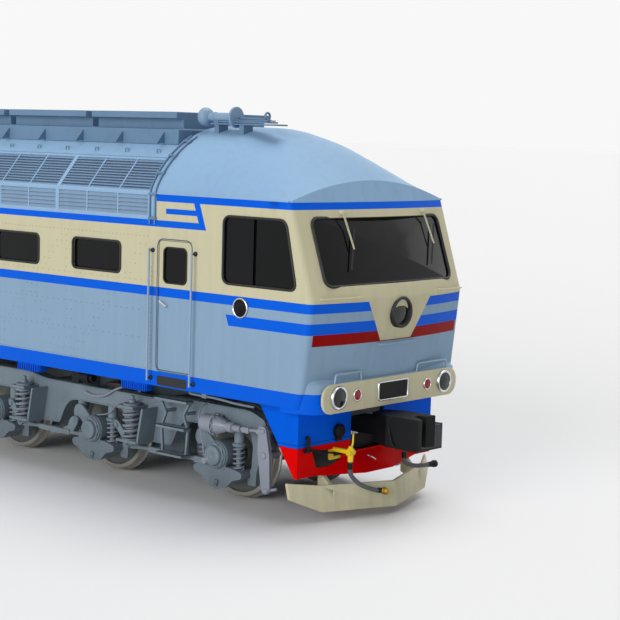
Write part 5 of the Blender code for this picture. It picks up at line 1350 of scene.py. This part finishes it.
def big_spring():
    """Two coils, one inside the other, with the damping rod in the middle."""
    low, high = BIG_SPRING_Z
    return merge(coil((0, -BIG_SPRING_Y), 0.115, 0.018, low, high, 6.2, 8),
                 coil((0, -BIG_SPRING_Y), 0.066, 0.013, low, high, 8, 6),
                 pillar(BIG_SPRING_Y, [(low, 0.035), (high, 0.035)], 12))


def spring_stand():
    """Seats above and below, the pin that goes through them, a bent plate in front and its webs."""
    low, high = BIG_SPRING_Z
    top = merge(block((-0.15, -SEAT_OUT, high + 0.012), (0.15, -SEAT_IN, high + 0.045)),
                pillar(BIG_SPRING_Y, [(high, 0.13), (high + 0.015, 0.13), (high + 0.015, 0.10)]),
                pillar(BIG_SPRING_Y, [(high + 0.04, 0.12), (high + 0.07, 0.12), (high + 0.08, 0.05),
                                      (high + 0.12, 0.045), (high + 0.12, 0.028), (high + 0.17, 0.028)]))
    foot = merge(block((-0.17, -SEAT_OUT, low - 0.05), (0.24, -SEAT_IN, low - 0.015)),
                 pillar(BIG_SPRING_Y, [(low - 0.02, 0.13), (low, 0.13), (low, 0.10)]),
                 pillar(BIG_SPRING_Y, [(low - 0.11, 0.03), (low - 0.085, 0.045), (low - 0.04, 0.045)], 6))
    bent = prism([(0.215, low - 0.05), (0.25, low - 0.05), (0.345, high + 0.045), (0.31, high + 0.045)],
                 1, -SEAT_OUT, -SEAT_IN)
    web = [(0.10, low - 0.04), (0.24, low - 0.04), (0.335, high + 0.04), (0.16, high + 0.04)]
    low_web = [(-0.17, low - 0.02), (-0.17, low - 0.12), (0.12, low - 0.13), (0.24, low - 0.02)]
    return merge(top, foot, bent, plate(web, 1.20, 1.235, 0.01), plate(low_web, 1.21, 1.25, 0.02))


def link_pins(places, profile):
    return [knob(x, z, profile, 16) for x, z in places]


def links():
    """The plates that hang beside a big spring, and the rod that runs forward to the next axle box."""
    return merge(plate(LINK_ARM, 1.285, 1.315, 0.04), plate(LINK_LUG, 1.24, 1.285, 0.04),
                 *link_pins(LINK_PINS, [(1.24, 0.034), (1.325, 0.034), (1.335, 0.024)]),
                 rod((0.06, -1.31, 0.54), (LINK_REACH, -1.31, 0.54), 0.028, 14),
                 block((0.30, -1.345, 0.505), (LINK_REACH - 0.25, -1.275, 0.575)),
                 block((LINK_REACH - 0.06, -1.335, 0.50), (LINK_REACH + 0.10, -1.25, 0.58)))


def link_plates():
    return merge(plate(LINK_PLATE, 1.29, 1.325, 0.04),
                 *link_pins(PLATE_PINS, [(1.24, 0.03), (1.335, 0.03), (1.34, 0.022)]))


# %% Frame and motors
SPRING_FOOT = ((-0.62, FRAME_LOW), (-0.48, FRAME_KNEE), (-0.36, FRAME_FOOT), (0.30, FRAME_FOOT),
               (0.42, FRAME_KNEE), (0.56, FRAME_LOW))
MOTORS = ((0, -1.08, -0.16), (1, 0.16, 1.08), (2, 0.16, 0.96))  # axle, and where it starts and ends


def frame_outline():
    """Down between the axles to the spring feet, and up in an arch over each axle."""
    rear, front, dip, shoulder = AXLES[2] - 0.85, AXLES[0] + 0.78, FRAME_TOP - 0.06, FRAME_TOP - 0.10
    line, radius = [(rear, FRAME_LOW)], [0.02]
    for x in reversed(BEAMS):
        line += [(x + along, z) for along, z in SPRING_FOOT]
        radius += [0.10, 0.09, 0.03, 0.03, 0.09, 0.10]
    line += [(front, FRAME_LOW), (front, shoulder), (front - 0.25, FRAME_TOP), (BEAMS[0] + 0.3, FRAME_TOP),
             (BEAMS[0], dip), (BEAMS[1], dip), (BEAMS[1] - 0.3, FRAME_TOP), (rear + 0.25, FRAME_TOP),
             (rear, shoulder)]
    return fillet(line, radius + [0.02, 0.06, 0.1, 0.15, 0.15, 0.15, 0.15, 0.1, 0.06], 5)


def bogie_body():
    """Side frame with its rolled edge, and half of each beam and of the centre beam."""
    outline = frame_outline()
    edge = along_path(np.insert(outline, 1, -FRAME_OUT, axis=1), 6, 0.013, closed=True)
    return merge(prism(outline, 1, -FRAME_OUT, -FRAME_IN), edge,
                 along_x(block((-0.16, -1.1, 0.88), (0.16, 0.0, 1.18)), BEAMS),
                 along_x(block((-0.07, -1.1, 1.02), (0.07, 0.0, 1.16)), (AXLES[0] + 0.68, AXLES[2] - 0.75)),
                 block((BEAMS[1] - 0.1, -0.34, 1.04), (BEAMS[0] + 0.1, 0.0, 1.30)))


def motor_form(low, high, foot, top, near, far):
    outline = [(low, 0.42), (low + 0.12, foot), (high - 0.12, foot), (high, 0.42), (high, top), (low, top)]
    return plate(outline, near, far, 0.06)


def motor(low, high):
    """A rounded body between its axle and a beam, with three ribs that stand out of it by 10 mm."""
    ribs = [motor_form(low - 0.01, high + 0.01, 0.29, 0.90, y - 0.02, y + 0.02) for y in (-0.45, 0.0, 0.45)]
    return merge(motor_form(low, high, 0.30, 0.95, -0.55, 0.55), *ribs)


# %% Brake gear and steps
LEVER = ((0.79, 1.14), (0.91, 1.14), (0.985, 0.78), (1.005, 0.34), (0.93, 0.27), (0.86, 0.32), (0.785, 0.80))
LEVER_PINS = ((0.85, 1.075, 0.03), (0.885, 0.77, 0.042), (0.94, 0.335, 0.034))  # along, height, radius
LEVER_BRACKET = ((0.66, 1.03), (0.70, 0.94), (0.82, 0.72), (0.95, 0.72), (0.80, 0.98), (0.78, 1.16))
CYLINDER_Y, CYLINDER_Z = 1.345, 1.05
CYLINDER = (
    (-0.175, 0.03), (-0.175, 0.105), (-0.16, 0.12), (0.03, 0.12), (0.03, 0.148), (0.06, 0.148), (0.06, 0.12),
    (0.10, 0.115), (0.19, 0.085), (0.24, 0.06), (0.28, 0.055), (0.28, 0.07), (0.35, 0.07), (0.36, 0.045),
    (0.48, 0.045), (0.485, 0.03))
STEP_REAR, STEP_FRONT = -0.95, -0.35
HANGER = ((0.0, 1.30), (0.12, 1.10), (0.04, 0.92), (0.07, 0.56))
TREADS = ((0.56, 0.06), (0.92, 0.03), (1.28, -0.01))  # height, how far in from the hangers' top


def brake_gear():
    """A cylinder with a bolted flange and a ribbed cone, its rod and fork, and the long lever."""
    y, z = -CYLINDER_Y, CYLINDER_Z
    ribs = []
    for angle in np.arange(10) * np.pi / 5:
        tip = np.array((0, math.cos(angle), math.sin(angle)))
        ribs.append(rod((0.07, y, z) + tip * 0.122, (0.23, y, z) + tip * 0.064, 0.007, 5))
    bolts = bolt_ring((0, y, z), 0, 0.02, 0.085, 0.134, 10, 0.011)
    pins = [knob(x, pin_z, [(1.20, r), (1.372, r), (1.38, r * 0.7)], 16) for x, pin_z, r in LEVER_PINS]
    return merge(lathe(CYLINDER, (0, y, z), 0, 36), bolts, *ribs,
                 rod((0.45, y, z), (0.80, y, z + 0.02), 0.024, 14),
                 block((0.52, y - 0.035, 1.02), (0.64, y + 0.035, 1.09)),
                 plate([(0.76, 1.03), (0.90, 1.05), (0.90, 1.11), (0.76, 1.09)], 1.295, 1.375, 0.025),
                 plate(LEVER, 1.305, 1.325, 0.05), plate(LEVER, 1.34, 1.36, 0.05), *pins,
                 knob(0.885, 0.77, [(1.08, 0.05), (1.30, 0.05)], 16), plate(LEVER_BRACKET, 1.12, 1.19, 0.02),
                 rod((0.94, -1.333, 0.335), (1.10, -1.333, 0.375), 0.018, 12))


def brake_bracket():
    """What holds the cylinder to the side frame."""
    return merge(block((-0.12, -1.27, 0.98), (-0.06, -1.20, 1.13)),
                 block((0.0, -1.27, 0.98), (0.05, -1.20, 1.16)))


def ladder():
    """Three treads with turned-down lips between two bent hangers, on two arms from the side frame."""
    shapes = []
    for x, way in ((STEP_REAR, 1), (STEP_FRONT, -1)):
        outline = [(x + way * along, z) for along, z in HANGER]
        outline += [(x + way * (along + 0.035), z) for along, z in reversed(HANGER)]
        start, stop = sorted((x + way * 0.10, x + way * 0.14))
        shapes += [prism(outline, 1, -1.42, -1.385), block((start, -1.39, 1.10), (stop, -1.19, 1.14))]
    for z, inward in TREADS:
        low, high = STEP_REAR + inward, STEP_FRONT - inward
        shapes.append(block((low, -1.50, z + 0.018), (high, -1.37, z + 0.03)))
        shapes += [block((low, y - 0.012, z - 0.012), (high, y, z + 0.03)) for y in (-1.488, -1.37)]
        shapes += [block((x, -1.50, z - 0.012), (x + 0.012, -1.37, z + 0.03)) for x in (low, high - 0.012)]
    return merge(*shapes)


def sensor():
    """The speed sensor on the leading axle box with its cable."""
    cable = through([(-0.15, -1.34, 0.58), (-0.16, -1.36, 0.70), (-0.19, -1.39, 0.95), (-0.23, -1.38, 1.14),
                     (-0.25, -1.30, 1.24), (-0.25, -1.18, 1.285)])
    return merge(knob(-0.15, 0.55, [(1.27, 0.05), (1.35, 0.05), (1.365, 0.04)], 20),
                 rod((-0.15, -1.33, 0.55), (-0.03, -1.36, 0.61), 0.036, 14), along_path(cable, 6, 0.009))


def frame_pipes():
    """A pipe and a thin pipe that run along the frame ahead of the middle axle."""
    pipe = through([(-0.20, -1.24, 1.13), (-0.03, -1.245, 1.10), (0.20, -1.245, 1.13), (0.42, -1.24, 1.24),
                    (0.52, -1.18, 1.285)])
    thin = through([(0.05, -1.235, 0.84), (0.30, -1.24, 0.90), (0.6, -1.24, 1.10),
                    (AXLES[0] - AXLES[1] - 0.9, -1.235, 1.17)])
    return merge(along_path(pipe, 8, 0.016), along_path(thin, 6, 0.009))


# %% Bogies
leading, middle = [AXLES[0]], [AXLES[1]]
bodies = merge(both_sides(merge(bogie_body(), along_x(spring_stand(), BIG_SPRINGS))),
               *[along_x(motor(start, end), [AXLES[axle]]) for axle, start, end in MOTORS])
boxes = merge(along_x(axle_box(), AXLES), along_x(along_x(spring_cup(), SMALL_SPRINGS), AXLES),
              along_x(links(), BIG_SPRINGS), along_x(link_plates(), AXLES[1:]))
springs = merge(along_x(along_x(small_spring(), SMALL_SPRINGS), AXLES), along_x(big_spring(), BIG_SPRINGS))
brakes = merge(along_x(merge(brake_gear(), sensor()), leading), along_x(frame_pipes(), middle))
steps = merge(along_x(ladder(), leading), along_x(brake_bracket(), leading))
for name, shape, made, finish in (
        ("bogie_body", bodies, BOGIE_PAINT, {"bevel": 0.008, "smooth": 32}),
        ("axle_boxes", both_sides(boxes), BOGIE_PAINT, {"bevel": 0.004, "segments": 1, "smooth": 32}),
        ("bogie_springs", both_sides(springs), SPRING_PAINT, {"smooth": 60}),
        ("brake_gear", both_sides(brakes), CYLINDER_PAINT, {}),
        ("step_ladders", both_sides(steps), BOGIE_PAINT, {"bevel": 0.003, "segments": 1})):
    at_both_ends(name, shape, made, BODY, ["bogie_{}_frame"], **finish)
print("bogie castings:", len(boxes[0]), "points a side")

# %% [markdown]
# A wheel is one profile turned about its axle: the rim with its flange is worn bright, and the dished web,
# the hub and the axle are painted. Both wheels and the axle are one body, because they turn as one.

# %% Wheelsets
RIM_PROFILE = np.array((  # off the middle, radius
    (0.705, 0.55), (0.705, 0.622), (0.712, 0.636), (0.722, 0.640), (0.733, 0.634), (0.742, 0.616),
    (0.752, 0.610), (0.832, 0.606), (0.845, 0.597), (0.845, 0.548), (0.836, 0.538), (0.715, 0.538)))
WEB_PROFILE = np.array((
    (0.0, 0.095), (0.66, 0.095), (0.69, 0.11), (0.70, 0.18), (0.715, 0.20), (0.745, 0.23), (0.752, 0.42),
    (0.735, 0.53), (0.73, 0.545), (0.835, 0.545), (0.815, 0.52), (0.79, 0.44), (0.788, 0.28), (0.81, 0.21),
    (0.86, 0.195), (0.884, 0.18), (0.885, 0.12), (0.885, 0.085), (1.175, 0.085), (1.18, 0.075)))
both_webs = np.concatenate([WEB_PROFILE[::-1] * (-1, 1), WEB_PROFILE[1:]])


def wheel_rim(side, centre):
    """A closed profile turned about the axle: a ring without end caps."""
    points, _ = lathe(RIM_PROFILE * (side, 1), centre, 1, 72)
    return points, band(len(RIM_PROFILE), 72, wrap_rows=True)


for number in range(1, 7):
    node = f"wheelset_{number}"
    centre = (sum(c.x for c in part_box(node)) / 2, 0, AXLE_Z)
    body = frame["nodes"][node]["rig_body"]
    for name, shape, made in (("bodies", lathe(both_webs, centre, 1, 56), WHEEL_PAINT),
                              ("rims", merge(wheel_rim(-1, centre), wheel_rim(1, centre)), TREAD_STEEL)):
        piece(f"wheel_{name}_{number}", shape, made, body, replaces=[node], smooth=30)
print("wheelsets: 6")

# %% [markdown]
# Under the sill hang the finned blocks of the side bearings, a damper and the pipes that don't turn with
# the bogie.

# %% Under the sill
BEARING_BLOCKS, FINS, FIN_T = (-1.35, -3.52), -0.22 + 0.04 * np.arange(12), 0.015


def bearing_block():
    """A row of upright fins under a plate."""
    return merge(block((-0.235, -1.50, 1.43), (0.25, -1.34, 1.462)),
                 block((-0.23, -1.49, 1.36), (0.245, -1.38, 1.44)),
                 along_x(block((0, -1.515, 1.345), (FIN_T, -1.36, 1.46)), FINS))


def damper():
    """A plate and the horn that it carries."""
    y, z = -1.43, 1.385
    return merge(block((-0.07, -1.50, 1.30), (0.07, -1.30, 1.465)),
                 rod((0.05, y, z), (0.24, y, z), 0.075, 24), rod((0.24, y, z), (0.30, y, z), 0.05, 20))


def conduits():
    """The pipe that runs to the front, with its clip."""
    line = through([(-0.30, -1.47, 1.462), (-0.27, -1.49, 1.425), (0.15, -1.49, 1.42), (0.50, -1.48, 1.395),
                    (0.80, -1.46, 1.385)])
    return merge(along_path(line, 10, 0.016), block((-0.06, -1.515, 1.40), (0.02, -1.47, 1.462)))


bearings = along_x(bearing_block(), [at(x) for x in BEARING_BLOCKS])
at_both_ends("side_bearing_blocks", both_sides(bearings), BLUE_PAINT, bevel=0.003, segments=1)
at_both_ends("dampers", both_sides(along_x(damper(), [at(-2.51)])), BLACK_IRON, bevel=0.004)
at_both_ends("conduits", both_sides(along_x(conduits(), [STATION])), BOGIE_PAINT)

# %% [markdown]
# Last come the small things of the front end: the taps' handles, the hook on the skirt, the link across
# its opening, the cover on the jumper box, and a light handle on the deflector.

# %% Front end below the lamps
TAP_X, TAPS, TAP_LEAN, SKIRT_X = 1.72, (-0.66, 0.45), 0.05, 1.45
OPENING_X, OPENING_HALF, OPENING_Z, NOTCH_HALF, NOTCH_Z = (1.34, 1.355), 0.47, (0.66, 1.38), 0.24, 0.97
DARK_COVER = material("dark_cover", "2B3138", 0.45, shine=0.3, drift=0.2, scale=4.0)


def tap_handle(y):
    """A bent lever on a boss at the tap's top."""
    line = through([(0, y, 0.915), (0.01, y + TAP_LEAN * 0.4, 0.945), (0.005, y + TAP_LEAN * 0.7, 1.00),
                    (-0.005, y + TAP_LEAN, 1.075)], 4)
    return merge(lathe([(0.885, 0.03), (0.925, 0.03), (0.93, 0.02)], (0, y, 0), 2, 12),
                 along_path(line, 8, 0.012), rod((0, y - 0.05, 0.85), (0, y + 0.05, 0.85), 0.042, 12))


def skirt_fittings():
    """The hook, the rod that runs from its foot into the opening, and the dummy socket with its strap."""
    hook = [(-0.01, -1.20, 1.06), (0.04, -1.20, 1.06), (0.04, -1.20, 0.90), (-0.01, -1.20, 0.90)]
    socket = ((-0.005, 0.09), (0.052, 0.09), (0.075, 0.06), (0.075, 0.001))
    return merge(bent_rod(hook, 0.03, 10, 0.024), rod((0.02, -1.16, 0.905), (0.02, -0.52, 0.77), 0.012, 8),
                 rod((0.02, -1.25, 0.895), (0.02, -1.12, 0.90), 0.024, 10),
                 lathe(socket, (0, -0.60, 1.08), 0, 28),
                 block((-0.002, -0.65, 0.955), (0.03, -0.55, 1.06)))


def behind_the_opening():
    """A black plate with a notch for the coupler's shank, so that the opening isn't seen through; its black
    is painted shade for the hollow behind the opening.
    """
    half, (low, high), notch, shelf = OPENING_HALF, OPENING_Z, NOTCH_HALF, NOTCH_Z
    outline = [(-half, low), (half, low), (half, high), (notch, high), (notch, shelf), (-notch, shelf),
               (-notch, high), (-half, high)]
    return prism(outline, 0, *OPENING_X)


cover = merge(block((2.058, 0.30, 0.80), (2.074, 0.77, 1.07)),
              rod((2.066, 0.33, 1.085), (2.066, 0.74, 1.085), 0.012, 8))
edge = block((2.096, 0.219, 0.785), (2.106, 0.281, 1.255))
lifter = through([(2.00, -0.262, 1.16), (2.05, -0.285, 1.02), (2.10, -0.275, 0.93), (2.15, -0.25, 0.90)], 5)
handle = through([(1.505, -0.05, 0.70), (1.535, -0.02, 0.685), (1.555, 0.03, 0.655), (1.56, 0.06, 0.62)], 5)
for name, shape, x, made, body, bevel in (
        ("tap_handles", merge(*[tap_handle(y) for y in TAPS]), TAP_X, YELLOW_PAINT, None, 0.0),
        ("skirt_fittings", skirt_fittings(), SKIRT_X, BLACK_IRON, None, 0.0),
        # the black plate behind the opening is painted shade for the hollow there
        ("opening_shade_plate", behind_the_opening(), 0.0, BLACK_IRON, None, 0.0),
        ("deflector_handle", along_path(handle, 8, 0.012), 0.0, BRIGHT_METAL, None, 0.0),
        ("jumper_cover", cover, 0.0, DARK_COVER, "coupler_{}", 0.003),
        ("guard_edge", edge, 0.0, BOGIE_PAINT, "coupler_{}", 0.0),
        ("coupler_lifter", along_path(lifter, 8, 0.014), 0.0, BLACK_IRON, "coupler_{}", 0.0)):
    at_both_ends(name, along_x(shape, [at(x)]), made, body, bevel=bevel)

# %% [markdown]
# The box of the solids and the box of the dressed locomotive are put side by side in one dictionary.

# %% Sizes and the end
boxes = {"cad": [list(corner) for corner in cad_box], "visual": [list(corner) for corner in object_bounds()]}
